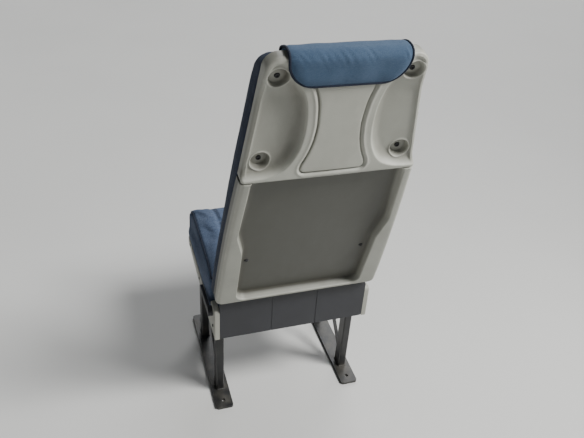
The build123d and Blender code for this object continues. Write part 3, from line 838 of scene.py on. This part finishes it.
def cup_frame(cup):
    """Where a cup's floor is, and the direction out of it."""
    x, rise = cup
    spot = stand_up([cup], cheek_floor(x, rise) + CUP_DEPTH, UPPER_LEAN)[0]
    inward = np.array((0, math.cos(UPPER_LEAN), math.sin(UPPER_LEAN)))
    sideways = np.array((math.copysign(1, x), 0, 0))
    return spot, -inward * math.cos(CUP_TILT) - sideways * math.sin(CUP_TILT)


points, faces = gathered([turned_at(SCREW, *cup_frame(cup)) for cup in CUPS])
add_piece("shell_screws_capped", points, faces, cap_plastic, "backrest", ["shell_screws"])
print("screws in the shell", len(CUPS))

# %% [markdown]
# Low in the tray, near its sides, two dark clips stand out of the floor. Each is a small
# flanged button with a hole, and it sits at the depth that the tray's own function gives.

# %% Clips in the tray
CLIP_X, CLIP_RISE = 146, 157 - LOWER_RUN
CLIP = [
    (5.6, -1.0, 0), (5.6, 0.5, 0), (4.4, 0.9, 0), (4.0, 2.0, 0), (3.4, 2.5, 0), (1.8, 2.5, 0),
    (1.6, 1.2, 0),
]
clip_spots = np.array(((-CLIP_X, CLIP_RISE), (CLIP_X, CLIP_RISE)))
clip_out = (0, -math.cos(LOWER_LEAN), -math.sin(LOWER_LEAN))
seats = stand_up(clip_spots, lower_depth(clip_spots), LOWER_LEAN)
points, faces = gathered([turned_at(CLIP, seat, clip_out) for seat in seats])
add_piece("tray_clips", points, faces, cap_plastic, "backrest", ["net_clips"])
print("clips in the tray", len(seats))

# %% [markdown]
# ## Padding that is really padded
#
# Foam under a sewn cover swells between its seams and stays flat where it is glued or
# clamped. Each pad starts as a copy of its CAD solid, remeshed into small even squares and
# drawn in by up to two millimetres. Blender's cloth then blows it up with its hidden sides
# pinned, and a cap limits how far any point may travel, so the pad keeps to its place.


# %% Start a pad from its solid
def face_depth(points):
    """How far points lie in front of the rear face."""
    depths = [
        (points - RIDGE) @ np.array((0, math.cos(lean), math.sin(lean)))
        for lean in (UPPER_LEAN, LOWER_LEAN)
    ]
    return np.minimum(*depths)


def read(piece, what):
    flat = np.empty(len(piece.data.vertices) * 3)
    piece.data.vertices.foreach_get(what, flat)
    return flat.reshape(-1, 3)


def coordinates(piece):
    return read(piece, "co") / MM


def set_coordinates(piece, points):
    piece.data.vertices.foreach_set("co", (points * MM).ravel())
    piece.data.update()


def bake_modifiers(piece):
    """The piece's mesh becomes what its modifiers make of it."""
    graph = bpy.context.evaluated_depsgraph_get()
    made = bpy.data.meshes.new_from_object(piece.evaluated_get(graph))
    piece.modifiers.clear()
    piece.data = made


def pad_from(node, name, voxel, drawn_in, behind=None, calm=6):
    """A pad with the shape of a CAD solid, cut off behind a depth if one is given."""
    shape = bmesh.new()
    shape.from_mesh(nodes[node].data)
    bmesh.ops.remove_doubles(shape, verts=shape.verts, dist=1e-5)
    if behind is not None:
        inward = Vector((0, math.cos(UPPER_LEAN), math.sin(UPPER_LEAN)))
        spot = Vector(RIDGE * MM) + inward * behind * MM
        everything = list(shape.verts) + list(shape.edges) + list(shape.faces)
        bmesh.ops.bisect_plane(shape, geom=everything, plane_co=spot, plane_no=inward, clear_inner=True)
        bmesh.ops.holes_fill(shape, edges=[e for e in shape.edges if e.is_boundary], sides=0)
    mesh = bpy.data.meshes.new(name)
    shape.to_mesh(mesh)
    shape.free()
    piece = bpy.data.objects.new(name, mesh)
    bpy.context.scene.collection.objects.link(piece)
    even = piece.modifiers.new("even", "REMESH")
    even.mode, even.voxel_size = "VOXEL", voxel * MM
    evened = piece.modifiers.new("evened", "SMOOTH")
    evened.factor, evened.iterations = 0.5, calm
    bake_modifiers(piece)
    set_coordinates(piece, coordinates(piece) - read(piece, "normal") * drawn_in)
    print(name, "starts with", len(piece.data.vertices), "points")
    return piece


# %% Blow the pads up together
FRAMES = 20


def blow_up(pads):
    """Runs the cloth on all pads at once. Each is (piece, pinned share of each point, cap)."""
    starts = [coordinates(piece) for piece, _, _ in pads]
    for piece, pinned, _ in pads:
        group = piece.vertex_groups.new(name="pinned")
        for level in np.unique(np.round(pinned, 1)):
            chosen = np.nonzero(np.round(pinned, 1) == level)[0].tolist()
            group.add(chosen, float(level), "REPLACE")
        cloth = piece.modifiers.new("cloth", "CLOTH")
        settings = cloth.settings
        settings.quality, settings.mass = 5, 0.3
        settings.tension_stiffness = settings.compression_stiffness = 15
        settings.bending_stiffness = 0.8
        settings.use_pressure, settings.uniform_pressure_force = True, 4
        settings.vertex_group_mass = "pinned"
        settings.effector_weights.gravity = 0
        cloth.collision_settings.use_collision = False
        cloth.point_cache.frame_start, cloth.point_cache.frame_end = 1, FRAMES
    blown = starts
    for number in range(1, FRAMES + 1):
        bpy.context.scene.frame_set(number)
    graph = bpy.context.evaluated_depsgraph_get()
    blown = [coordinates(piece.evaluated_get(graph)) for piece, _, _ in pads]
    for (piece, _, cap), start, end in zip(pads, starts, blown):
        size = np.linalg.norm(end - start, axis=1)[:, None]
        moved = (end - start) * (cap * np.tanh(size / cap) / np.maximum(size, 1e-9))
        piece.modifiers.clear()
        set_coordinates(piece, start + moved)
        print(piece.name, "rose by up to", round(float(np.linalg.norm(moved, axis=1).max()), 1))
    bpy.context.scene.frame_set(1)
    for piece, _, _ in pads:
        finer = piece.modifiers.new("finer", "SUBSURF")
        finer.levels = finer.render_levels = 1
        bake_modifiers(piece)
        piece.data.shade_smooth()


# %% [markdown]
# The pins follow how each pad is held. The backrest's middle is clamped to the frame behind
# it and sewn to the bolsters beside it, the seat cushion is stretched over its pan, and the
# headrest is held by the shell behind it.


# %% Pin and blow
def ramp(values, free, held):
    """1 where values reach held, 0 where they reach free."""
    return np.clip((np.asarray(values, float) - free) / (held - free), 0, 1)


def half_width(height):
    """Half the backrest's width at a height."""
    over = np.asarray(height, float) - RIDGE[2]
    above = RIDGE_HALF - over / UPPER_RISE * (RIDGE_HALF - SHOULDER_HALF)
    below = RIDGE_HALF - over / LOWER_RISE * (FOOT_HALF - RIDGE_HALF)
    return np.where(over > 0, above, below)


BOLSTER, SEWN = 38, 0.9
middle = pad_from("back_cushion", "back_middle", 5.5, 0.4)
bolsters = [
    pad_from(f"back_bolster_{word}", f"back_bolster_{word[0]}", 5.0, 0.6, calm=16) for word in SIDES
]
seat = pad_from("seat_cushion", "seat_pad", 6.0, 2.0)
head = pad_from("headrest", "headrest_pad", 4.5, 0.8, behind=1.0)


def seen_from_seam(piece):
    """Each point's height, its depth, and how far it is inside the seams to the bolsters."""
    p = coordinates(piece)
    return p[:, 2], face_depth(p), half_width(p[:, 2]) - BOLSTER - np.abs(p[:, 0])


height, depth, from_seam = seen_from_seam(middle)
clamped, sewn, foot = ramp(depth, 60, 50), ramp(from_seam, 16, 5) * SEWN, ramp(height, 440, 415)
pads = [(middle, np.maximum.reduce([clamped, sewn, foot]), 10.0)]
for piece in bolsters:
    height, depth, from_seam = seen_from_seam(piece)
    sewn = ramp(-from_seam, 8, 2) * ramp(depth, 76, 66) * SEWN
    clamped, foot = ramp(depth, 50, 40), ramp(height, 430, 405)
    pads.append((piece, np.maximum.reduce([clamped, foot, sewn]), 6.0))
p = coordinates(seat)
pads.append((seat, np.maximum(ramp(p[:, 2], 345, 330), ramp(p[:, 1], -100, -118)), 9.0))
p = coordinates(head)
pads.append((head, np.maximum(ramp(face_depth(p), 52, 42), ramp(p[:, 2], 1070, 1092) * SEWN), 9.0))
blow_up(pads)

# %% [markdown]
# ## Seams, channels and piping
#
# A seam pulls the cover down into the foam in a narrow valley and puckers it a little on both
# sides. The remesh would have rubbed such valleys out, so they come now: points near a seam's
# line sink along their normals. Piping is a cord in a sleeve of cloth, sewn in along an edge.
# Its path is pulled onto the pad's surface before the cord is made.


# %% Lines on a surface
def surface_of(*pieces):
    trees = []
    for piece in pieces:
        shape = bmesh.new()
        shape.from_mesh(piece.data)
        trees.append(BVHTree.FromBMesh(shape))
        shape.free()
    return trees


def pulled(path, pieces, lift=0.0, passes=3, closed=False):
    """The path laid on the nearest of the pieces' surfaces and evened out."""
    trees = surface_of(*pieces)
    path = np.asarray(path, float)
    for _ in range(passes):
        made, out = [], []
        for spot in path:
            finds = [tree.find_nearest(Vector(spot * MM)) for tree in trees]
            near = min((f for f in finds if f[0] is not None), key=lambda f: f[3])
            made.append(np.array(near[0]) / MM)
            out.append(np.array(near[1]))
        made, out = np.array(made), np.array(out)
        smooth = (np.roll(made, 1, 0) + made * 2 + np.roll(made, -1, 0)) / 4
        if not closed:
            smooth[0], smooth[-1] = made[0], made[-1]
        path = smooth
    return path + out * lift


def eased(path, reach=9):
    """The path with its small waves averaged out, its ends kept."""
    share = np.hanning(2 * reach + 3)[1:-1]
    longer = np.vstack((2 * path[0] - path[reach:0:-1], path, 2 * path[-1] - path[-2 : -reach - 2 : -1]))
    return np.column_stack([np.convolve(longer[:, i], share / share.sum(), "valid") for i in range(3)])


print("nearest spot on the headrest", pulled([(0, 0, 1000)] * 2, [head])[0].round(1))


# %% Sink a seam
def sink(piece, path, depth=3.0, width=4.5, pucker=0.5):
    """A sewn valley along the path, with small puckers beside it."""
    line = resampled(path, 2.0)
    tree = KDTree(len(line))
    for i, spot in enumerate(line):
        tree.insert(spot, i)
    tree.balance()
    points, out = coordinates(piece), read(piece, "normal")
    for i, spot in enumerate(points):
        _, index, gap = tree.find(spot)
        if gap < width * 6:
            valley = depth * math.exp(-((gap / width) ** 2))
            wave = math.sin(index * 0.85 + 3 * noise.noise(Vector(spot) / 30))
            fold = pucker * wave * math.exp(-gap / (2.2 * width))
            points[i] = spot - out[i] * (valley + fold)
    set_coordinates(piece, points)


# %% Cords and stitches
def circle_across(spot, side, other, radius, count):
    """Points round a spot, in the plane of two directions."""
    angles = [2 * math.pi * k / count for k in range(count)]
    return [spot + (side * math.cos(a) + other * math.sin(a)) * radius for a in angles]


def piping(name, path, radius, body, closed=False, sides=10):
    """A cord in its sleeve along a path, as a mesh tube with rounded ends."""
    path = resampled(path, 3.0, closed)
    count = len(path)
    if closed:
        run = np.roll(path, -1, 0) - np.roll(path, 1, 0)
    else:
        run = np.gradient(path, axis=0)
    run /= np.linalg.norm(run, axis=1)[:, None]
    side = np.cross(run[0], (0.3, 0.5, 0.8))
    points = []
    for i in range(count):
        side = side - run[i] * (side @ run[i])
        side /= np.linalg.norm(side)
        ends = min(i, count - 1 - i)
        size = radius if closed or ends > 1 else radius * (0.35, 0.8)[ends]
        points += circle_across(path[i], side, np.cross(run[i], side), size, sides)
    faces = tube_faces(count, sides, closed)
    return add_piece(name, points, faces, piping_cloth, body)


STITCH = [(0.025, -1.8, 0), (0.375, -1.296, 0), (0.5, 0.0, 0), (0.375, 1.296, 0), (0.025, 1.8, 0)]
STITCH_PITCH, STITCH_LIFT = 6.0, 0.2


def stitches(name, path, pad, body):
    """Short threads in a row along a path on a pad."""
    spots = resampled(path, STITCH_PITCH)
    surface = surface_of(pad)[0]
    parts = []
    for start, end in zip(spots[:-1], spots[1:]):
        near, out, _, _ = surface.find_nearest(Vector((start + end) / 2 * MM))
        middle = np.array(near) / MM + np.array(out) * STITCH_LIFT
        parts.append(turned_at(STITCH, middle, end - start, count=6, capped=False))
    points, faces = gathered(parts)
    return add_piece(name, points, faces, thread_finish, body)


print("sewing helpers ready")

# %% [markdown]
# ### The backrest's cover
#
# The middle is sewn to the bolsters in a deep seam, and crossed by two channels with a row of
# stitches on each side. Piping runs down the outer front edge of each bolster, where its front
# meets its side panel. A row of stitches follows its inner edge.


# %% Sew the backrest
PADDING, CHANNELS, STITCHED = 70, (560, 745), 6


def pad_front(height, more=0.0):
    """The front of the padding at a height, in side view."""
    over = np.asarray(height, float) - RIDGE[2]
    lean = np.where(over > 0, math.tan(UPPER_LEAN), math.tan(LOWER_LEAN))
    return RIDGE[1] - over * lean + PADDING + more


for number, height in enumerate(CHANNELS):
    reach = float(half_width(height)) - BOLSTER - 4
    across = np.array([(x, float(pad_front(height, 10)), height) for x in np.linspace(-reach, reach, 60)])
    sink(middle, pulled(across, [middle], passes=2), depth=6.5, width=6.0, pucker=0.8)
    for word, above in (("low", -STITCHED), ("high", STITCHED)):
        row = pulled(across + (0, 0, above), [middle], passes=2)
        stitches(f"back_stitches_{number}_{word}", row, middle, "backrest")
for (word, side), piece in zip(SIDES.items(), bolsters):
    heights = np.linspace(418, 1085, 110)
    edge = np.column_stack((side * (half_width(heights) + 5), pad_front(heights, 20), heights))
    edge = eased(pulled(edge, [piece]))
    sink(piece, edge, depth=1.6, width=4.0, pucker=0.1)
    piping(f"bolster_piping_{word}", eased(pulled(edge, [piece], 0.9, 1)), 2.3, "backrest")
    inner = side * (half_width(heights) - BOLSTER + STITCHED)
    inner = pulled(np.column_stack((inner, pad_front(heights, 17), heights)), [piece])
    stitches(f"bolster_stitches_{word}", inner, piece, "backrest")
    dress(piece, bolster_cloth, "backrest", [f"back_bolster_{word}"])
dress(middle, seat_cloth, "backrest", ["back_cushion"])
print("backrest sewn")

# %% [markdown]
# ### The headrest and its flap
#
# The headrest's cover comes over the top of the shell and ends behind it in a flap with round
# corners, edged with dark piping. The flap is drawn: a strip of cloth follows the
# side view from the pad's front edge over the crown and down the shell, swells in its middle
# and is gathered into small slanting folds where it turns over the top. Beside the pad, a
# narrow padded strip of the bolsters' cloth closes the gap to each bolster.

# %% Headrest
dress(head, headrest_cloth, "backrest", ["headrest"])

upper_up = np.array((-math.sin(UPPER_LEAN), math.cos(UPPER_LEAN)))
upper_in = np.array((math.cos(UPPER_LEAN), math.sin(UPPER_LEAN)))


def side_view(rise, depth):
    """The point at a rise and a depth, seen from the side."""
    return RIDGE[1:] + upper_up * rise + upper_in * depth


def behind(height, depth):
    """The point at a height on the sheet that lies so deep below the upper rear face."""
    start = side_view(0, depth)
    return np.array((start[0] - (height - start[1]) * math.tan(UPPER_LEAN), height))


def ahead(height, reach):
    """The point at a height, so far ahead of the upper rear face."""
    return behind(height, 0) + (reach, 0)


print("rear face at a metre up", behind(1000, 0).round(1))

# %% Side view of the flap
CROWN, FLAP_HALF, FLAP_CORNER, FLAP_DROP = 1114.0, 117.0, 52.0, 57.0
PROUD, STEP = 1.5, 1.5
corners = [
    side_view(UPPER_RUN - FLAP_DROP, -PROUD), behind(CROWN - 6, -PROUD), behind(CROWN, RIM),
    ahead(CROWN - 15, 66), ahead(1024, 94), behind(1000, 30),
]
side_path = resampled(rounded(corners, (0, 17, 45, 24, 0, 0))[:-2], STEP)
along = np.arange(len(side_path)) * STEP
tangent = np.gradient(side_path, axis=0)
tangent /= np.linalg.norm(tangent, axis=1)[:, None]
outward = np.column_stack((-tangent[:, 1], tangent[:, 0]))
crown_at = along[np.argmax(side_path[:, 1])]
brink_at = crown_at - 32
seam_at = crown_at + 40
print("crown of the flap at", round(float(crown_at)), "mm along it")


# %% Cloth of the flap
def slab(front, back, wide, turned_over=False):
    """Points and faces of two sheets that are joined round their rim."""
    count = len(front)
    faces = []
    for row in range(0, count - wide, wide):
        for a in range(row, row + wide - 1):
            faces.append((a, a + wide, a + wide + 1, a + 1))
            faces.append((count + a, count + a + 1, count + a + wide + 1, count + a + wide))
    rim = [*range(wide), *range(2 * wide - 1, count, wide)]
    rim += [*range(count - 2, count - wide - 1, -1), *range(count - 2 * wide, 0, -wide)]
    faces += [(a, b, count + b, count + a) for a, b in zip(rim, rim[1:] + rim[:1])]
    return [*front, *back], [f[::-1] for f in faces] if turned_over else faces


rows = np.concatenate((52 * (1 - np.cos(np.linspace(0, math.pi / 2, 22))), np.arange(54, seam_at, 2.2)))
columns = np.sin(np.linspace(-1, 1, 81) * 1.35) / math.sin(1.35)
points, under = [], []
for row in rows:
    spot = np.array([np.interp(row, along, side_path[:, i]) for i in (0, 1)])
    out = np.array([np.interp(row, along, outward[:, i]) for i in (0, 1)])
    cut = max(FLAP_CORNER - row, 0)
    width = FLAP_HALF - FLAP_CORNER + math.sqrt(FLAP_CORNER**2 - cut**2)
    fullness = 5.5 - 3.0 * max(0, min(1, (row - brink_at) / 25))
    tuck = 3.5 * hump(row, seam_at, 5)
    near_brink = hump(row, brink_at + 2, 13)
    for column in columns:
        x = column * width
        from_edge = min(width - abs(x), row)
        swell = fullness * (1 - math.exp(-max(from_edge, 0) / 8)) - tuck
        lean = x + (row - brink_at) * 0.8
        gather = math.sin(lean / 2.4 + 3 * noise.noise(Vector((x, row, 5)) / 26))
        strength = max(0, 0.35 + 1.3 * noise.noise(Vector((x, 0, 40)) / 34))
        slack = noise.noise(Vector((x, row, 0)) / 38) * 1.4
        height = swell + (gather * 1.2 * strength * near_brink + slack) * min(from_edge / 10, 1)
        points.append((x, *(spot + out * height)))
        under.append((x, *(spot - out * (0.8 + tuck))))
wide, count = len(columns), len(points)
made, faces = slab(points, under, wide)
flap = add_piece("headrest_flap", made, faces, headrest_cloth, "backrest")
print("flap points", count)

# %% Piping of the flap and the pad
edge = [*range(count - wide, 0, -wide), *range(wide), *range(2 * wide - 1, count, wide)]
front_edge = [(FLAP_HALF, *ahead(h, 92)) for h in np.linspace(948, CROWN - 22, 40)]
front_edge = pulled(front_edge, [head])
for side in SIDES.values():
    sink(head, front_edge * (-side, 1, 1), depth=1.4, width=4.0, pucker=0.2)
front_edge = pulled(front_edge, [head], 0.9, 1)
flap_edge = np.vstack((front_edge * (-1, 1, 1), np.array(points)[edge], front_edge[::-1]))
piping("flap_piping", flap_edge, 2.7, "backrest")
print("piping round the headrest", len(flap_edge), "points")

# %% Strips beside the headrest
STRIP_INNER, STRIP_FOOT, STRIP_TOP = 118.2, 936, 1080
for word, side in SIDES.items():
    front, back = [], []
    for height in np.linspace(STRIP_FOOT, STRIP_TOP, 40):
        gap = max(float(half_width(height)) - BOLSTER - 0.4 - STRIP_INNER, 0.4)
        for share in np.linspace(0, 1, 9):
            x = side * (STRIP_INNER + gap * share)
            bulge = 7 * math.sin(math.pi * share) * ramp(height, STRIP_FOOT, STRIP_FOOT + 14)
            front.append((x, *ahead(height, 52 + bulge)))
            back.append((x, *ahead(height, 36)))
    points, faces = slab(front, back, 9, turned_over=side > 0)
    gusset = add_piece(f"headrest_gusset_{word}", points, faces, bolster_cloth, "backrest")
print("headrest sewn")

# %% [markdown]
# ### The seat cushion
#
# A boxed cushion: a top panel, a side band all round, and piping between them. Its top is
# sewn into a middle and two wings, and one channel crosses it under the thighs.

# %% Sew the seat cushion
SEAT_HALF, SEAT_REAR, SEAT_FRONT, SEAT_TOP = 214, -118, 250, 440
SEAM, THIGH_SEAM = 142, 128
corners = [(SEAT_HALF, SEAT_REAR), (SEAT_HALF, SEAT_FRONT)]
corners += [(-x, y) for x, y in corners[::-1]]
border = resampled(rounded(corners, (16, 34, 34, 16)), 4.0, closed=True)
nose = np.clip((border[:, 1] - (SEAT_FRONT - 100)) / 100, 0, 1)
around = np.column_stack((border * 1.02, SEAT_TOP - 16 - 14 * nose**2))
around = pulled(around, [seat], closed=True)
sink(seat, np.vstack((around, around[:1])), depth=1.8, width=4.5)
along_seat = np.array([(SEAM, y, SEAT_TOP) for y in np.linspace(SEAT_REAR + 13, SEAT_FRONT - 7, 70)])
for side in SIDES.values():
    sink(seat, pulled(along_seat * (-side, 1, 1), [seat], passes=2), depth=6.0, width=6.0, pucker=0.8)
cross = np.array([(x, THIGH_SEAM, SEAT_TOP) for x in np.linspace(4 - SEAM, SEAM - 4, 60)])
sink(seat, pulled(cross, [seat], passes=2), depth=5.0, width=6.0, pucker=0.8)
rows = {
    "left": along_seat * (-1, 1, 1) + (STITCHED, 0, 0),
    "right": along_seat - (STITCHED, 0, 0),
    "rear": cross - (0, STITCHED, 0),
    "front": cross + (0, STITCHED, 0),
}
for word, row in rows.items():
    stitches(f"seat_stitches_{word}", pulled(row, [seat], passes=2), seat, "base")
dress(seat, seat_cloth, "base", ["seat_cushion"])
piping("seat_piping", pulled(around, [seat], 0.9, 1, closed=True), 2.4, "base", closed=True)
print("seat cushion sewn")

# %% [markdown]
# ## Weld beads and trim screws
#
# Where tubes and plates of a seat frame are joined, a bead of weld runs round the joint in
# small overlapping ripples, under the powder coat. A tube along the joint whose radius
# swells and shrinks says that well. Each side cover is held by three small screws. A ray is
# shot at the cover from outside, and the screw sits where it lands, facing back along the
# surface's normal.


# %% Weld beads
POST_X, POST_Y = 191.0, 112.0
POST_HALF_X, POST_HALF_Y = 11.0, 19.0
RUNNER_TOP, POST_TOP = 8.0, 280.0
BEAD, INTO_JOINT = 2.3, 0.4


def bead(path, sides=8):
    """Points and faces of a rippled tube round a joint."""
    path = resampled(path, 1.2, closed=True)
    points = []
    for i, (spot, run) in enumerate(zip(path, np.roll(path, -1, 0) - np.roll(path, 1, 0))):
        run /= np.linalg.norm(run)
        side = np.cross(run, (0.31, 0.52, 0.79))
        side /= np.linalg.norm(side)
        ripple = 0.82 + 0.18 * abs(math.sin(i * 0.62)) + 0.1 * noise.noise(Vector(spot) / 9)
        points += circle_across(spot, side, np.cross(run, side), BEAD * ripple, sides)
    return np.array(points), tube_faces(len(path), sides, closed=True)


for word, side in SIDES.items():
    joints = []
    for y in (-POST_Y, POST_Y):
        a, b = POST_HALF_X + INTO_JOINT, POST_HALF_Y + INTO_JOINT
        ring = rounded([(a, b), (-a, b), (-a, -b), (a, -b)], (4, 4, 4, 4))
        for z in (RUNNER_TOP + INTO_JOINT, POST_TOP - INTO_JOINT):
            joints.append(bead(np.column_stack((ring + (side * POST_X, y), np.full(len(ring), z)))))
    points, faces = gathered(joints)
    add_piece(f"leg_welds_{word}", points, faces, powder_coat, "base")
    print("weld beads", word, len(faces), "faces")

# %% Cover screws
COVER_SCREWS = [(-160, 296), (40, 296), (196, 302)]
for word, side in SIDES.items():
    cover = surface_of(nodes[f"side_cover_{word}"])[0]
    seated = []
    for y, z in COVER_SCREWS:
        spot, out, _, _ = cover.ray_cast(Vector((side * 400, y, z)) * MM, Vector((-side, 0, 0)))
        seated.append(turned_at(SCREW, np.array(spot) / MM, out, 0.75))
    points, faces = gathered(seated)
    add_piece(f"cover_screws_{word}", points, faces, cap_plastic, "base")
    print("cover screws", word, len(seated))

# %% [markdown]
# ## The metal and plastic that stay as they are
#
# Tubes, plates, covers and pins keep their CAD meshes. A weld joins their corners, a narrow
# bevel breaks the edges as a press or a mould would, and weighted normals keep flats flat.

# %% Dress the CAD nodes
KEPT = {
    "back_frame": (powder_coat, 1.0), "seat_pan": (powder_coat, 0.8),
    "cross_tube_front": (powder_coat, 0.5), "cross_tube_rear": (powder_coat, 0.5),
    "rear_apron": (dark_plastic, 0.8), "recline_lever": (dark_plastic, 2.2),
}
for word in SIDES:
    KEPT |= {
        f"rail_{word}": (powder_coat, 0.5), f"leg_{word}": (powder_coat, 0.8),
        f"recliner_plate_{word}": (zinc, 0.6), f"recliner_pin_{word}": (zinc, 0.6),
        f"side_cover_{word}": (cover_plastic, 0.8),
    }
for name, (finish, bevel_width) in KEPT.items():
    node = nodes[name]
    node.data.materials.clear()
    node.data.materials.append(finish.material)
    node.data.shade_smooth()
    weld = node.modifiers.new("weld", "WELD")
    weld.merge_threshold = 1e-5
    bevel = node.modifiers.new("bevel", "BEVEL")
    bevel.width, bevel.segments = bevel_width * MM, 3
    bevel.limit_method, bevel.angle_limit = "ANGLE", math.radians(35)
    even = node.modifiers.new("even", "WEIGHTED_NORMAL")
    even.keep_sharp = False
print("CAD nodes dressed", len(KEPT))

# %% [markdown]
# ## Floor, light and camera
#
# The camera stands where the photographer stood: behind the seat and to its aisle side, a
# metre and a half up, so it looks down into the shell. Soft light comes from the window side,
# which is +X, as in the bus: a lamp beside the shell and a high sun behind it, with a weaker
# sun from the front. The sky lights the shadows, and the camera sees it as a paler backdrop.


# %% Floor
floor_finish = Finish("floor_finish", Specular_IOR_Level=0.3)
drift = floor_finish.blotch(700, 3)
floor_finish.feed(
    Base_Color=floor_finish.mix(drift, linear("cdcdcb"), linear("d6d6d4")),
    Roughness=drift * 0.1 + 0.6,
)
floor_mesh = bpy.data.meshes.new("floor")
floor_mesh.from_pydata([(-60, -60, 0), (60, -60, 0), (60, 60, 0), (-60, 60, 0)], [], [(0, 1, 2, 3)])
floor_mesh.materials.append(floor_finish.material)
floor = bpy.data.objects.new("floor", floor_mesh)
bpy.context.scene.collection.objects.link(floor)
print("floor", round(floor.dimensions.x), "metres wide")


# %% Light
def soft_light(name, place, aim, size, power, colour):
    lamp = bpy.data.lights.new(name, "AREA")
    lamp.shape, lamp.size, lamp.energy, lamp.color = "DISK", size, power, colour
    light = bpy.data.objects.new(name, lamp)
    light.location = place
    light.rotation_euler = (Vector(aim) - Vector(place)).to_track_quat("-Z", "Y").to_euler()
    bpy.context.scene.collection.objects.link(light)
    return lamp


def far_light(name, direction, softness, strength, colour):
    """Light from far off, as even over the floor as over the seat."""
    lamp = soft_light(name, direction, (0, 0, 0), 1, strength, colour)
    lamp.type = "SUN"
    lamp.id_data.angle = math.radians(softness)


soft_light("window_light", (1.35, -0.85, 1.75), (0, -0.3, 0.9), 0.5, 30, (1.0, 0.99, 0.96))
far_light("roof_light", (1.0, -0.7, 1.5), 18, 2.6, (1.0, 1.0, 0.99))
far_light("front_light", (0.8, 1.5, 1.2), 35, 1.5, (0.98, 0.99, 1.0))
world = bpy.data.worlds.new("studio")
world.use_nodes = True
sky = world.node_tree
fill = sky.nodes["Background"]
fill.inputs["Color"].default_value = (0.9, 0.92, 0.94, 1)
fill.inputs["Strength"].default_value = 0.14
seen = sky.nodes.new("ShaderNodeBackground")
seen.inputs["Color"].default_value = (0.66, 0.665, 0.66, 1)
path = sky.nodes.new("ShaderNodeLightPath")
choice = sky.nodes.new("ShaderNodeMixShader")
sky.links.new(path.outputs["Is Camera Ray"], choice.inputs[0])
sky.links.new(fill.outputs[0], choice.inputs[1])
sky.links.new(seen.outputs[0], choice.inputs[2])
sky.links.new(choice.outputs[0], sky.nodes["World Output"].inputs[0])
bpy.context.scene.world = world
print("lights", len(bpy.data.lights))

# %% Camera
EYE, AIM, ROLL = Vector((-0.445, -1.389, 1.488)), Vector((0.0, -0.115, 0.575)), math.radians(4)
lens = bpy.data.cameras.new("camera")
lens.sensor_width, lens.lens = 36, 36 * 640 / 584
camera = bpy.data.objects.new("camera", lens)
camera.location = EYE
camera.rotation_mode = "QUATERNION"
camera.rotation_quaternion = (AIM - EYE).to_track_quat("-Z", "Y") @ Quaternion((0, 0, 1), ROLL)
bpy.context.scene.collection.objects.link(camera)
bpy.context.scene.camera = camera
print("camera ready")
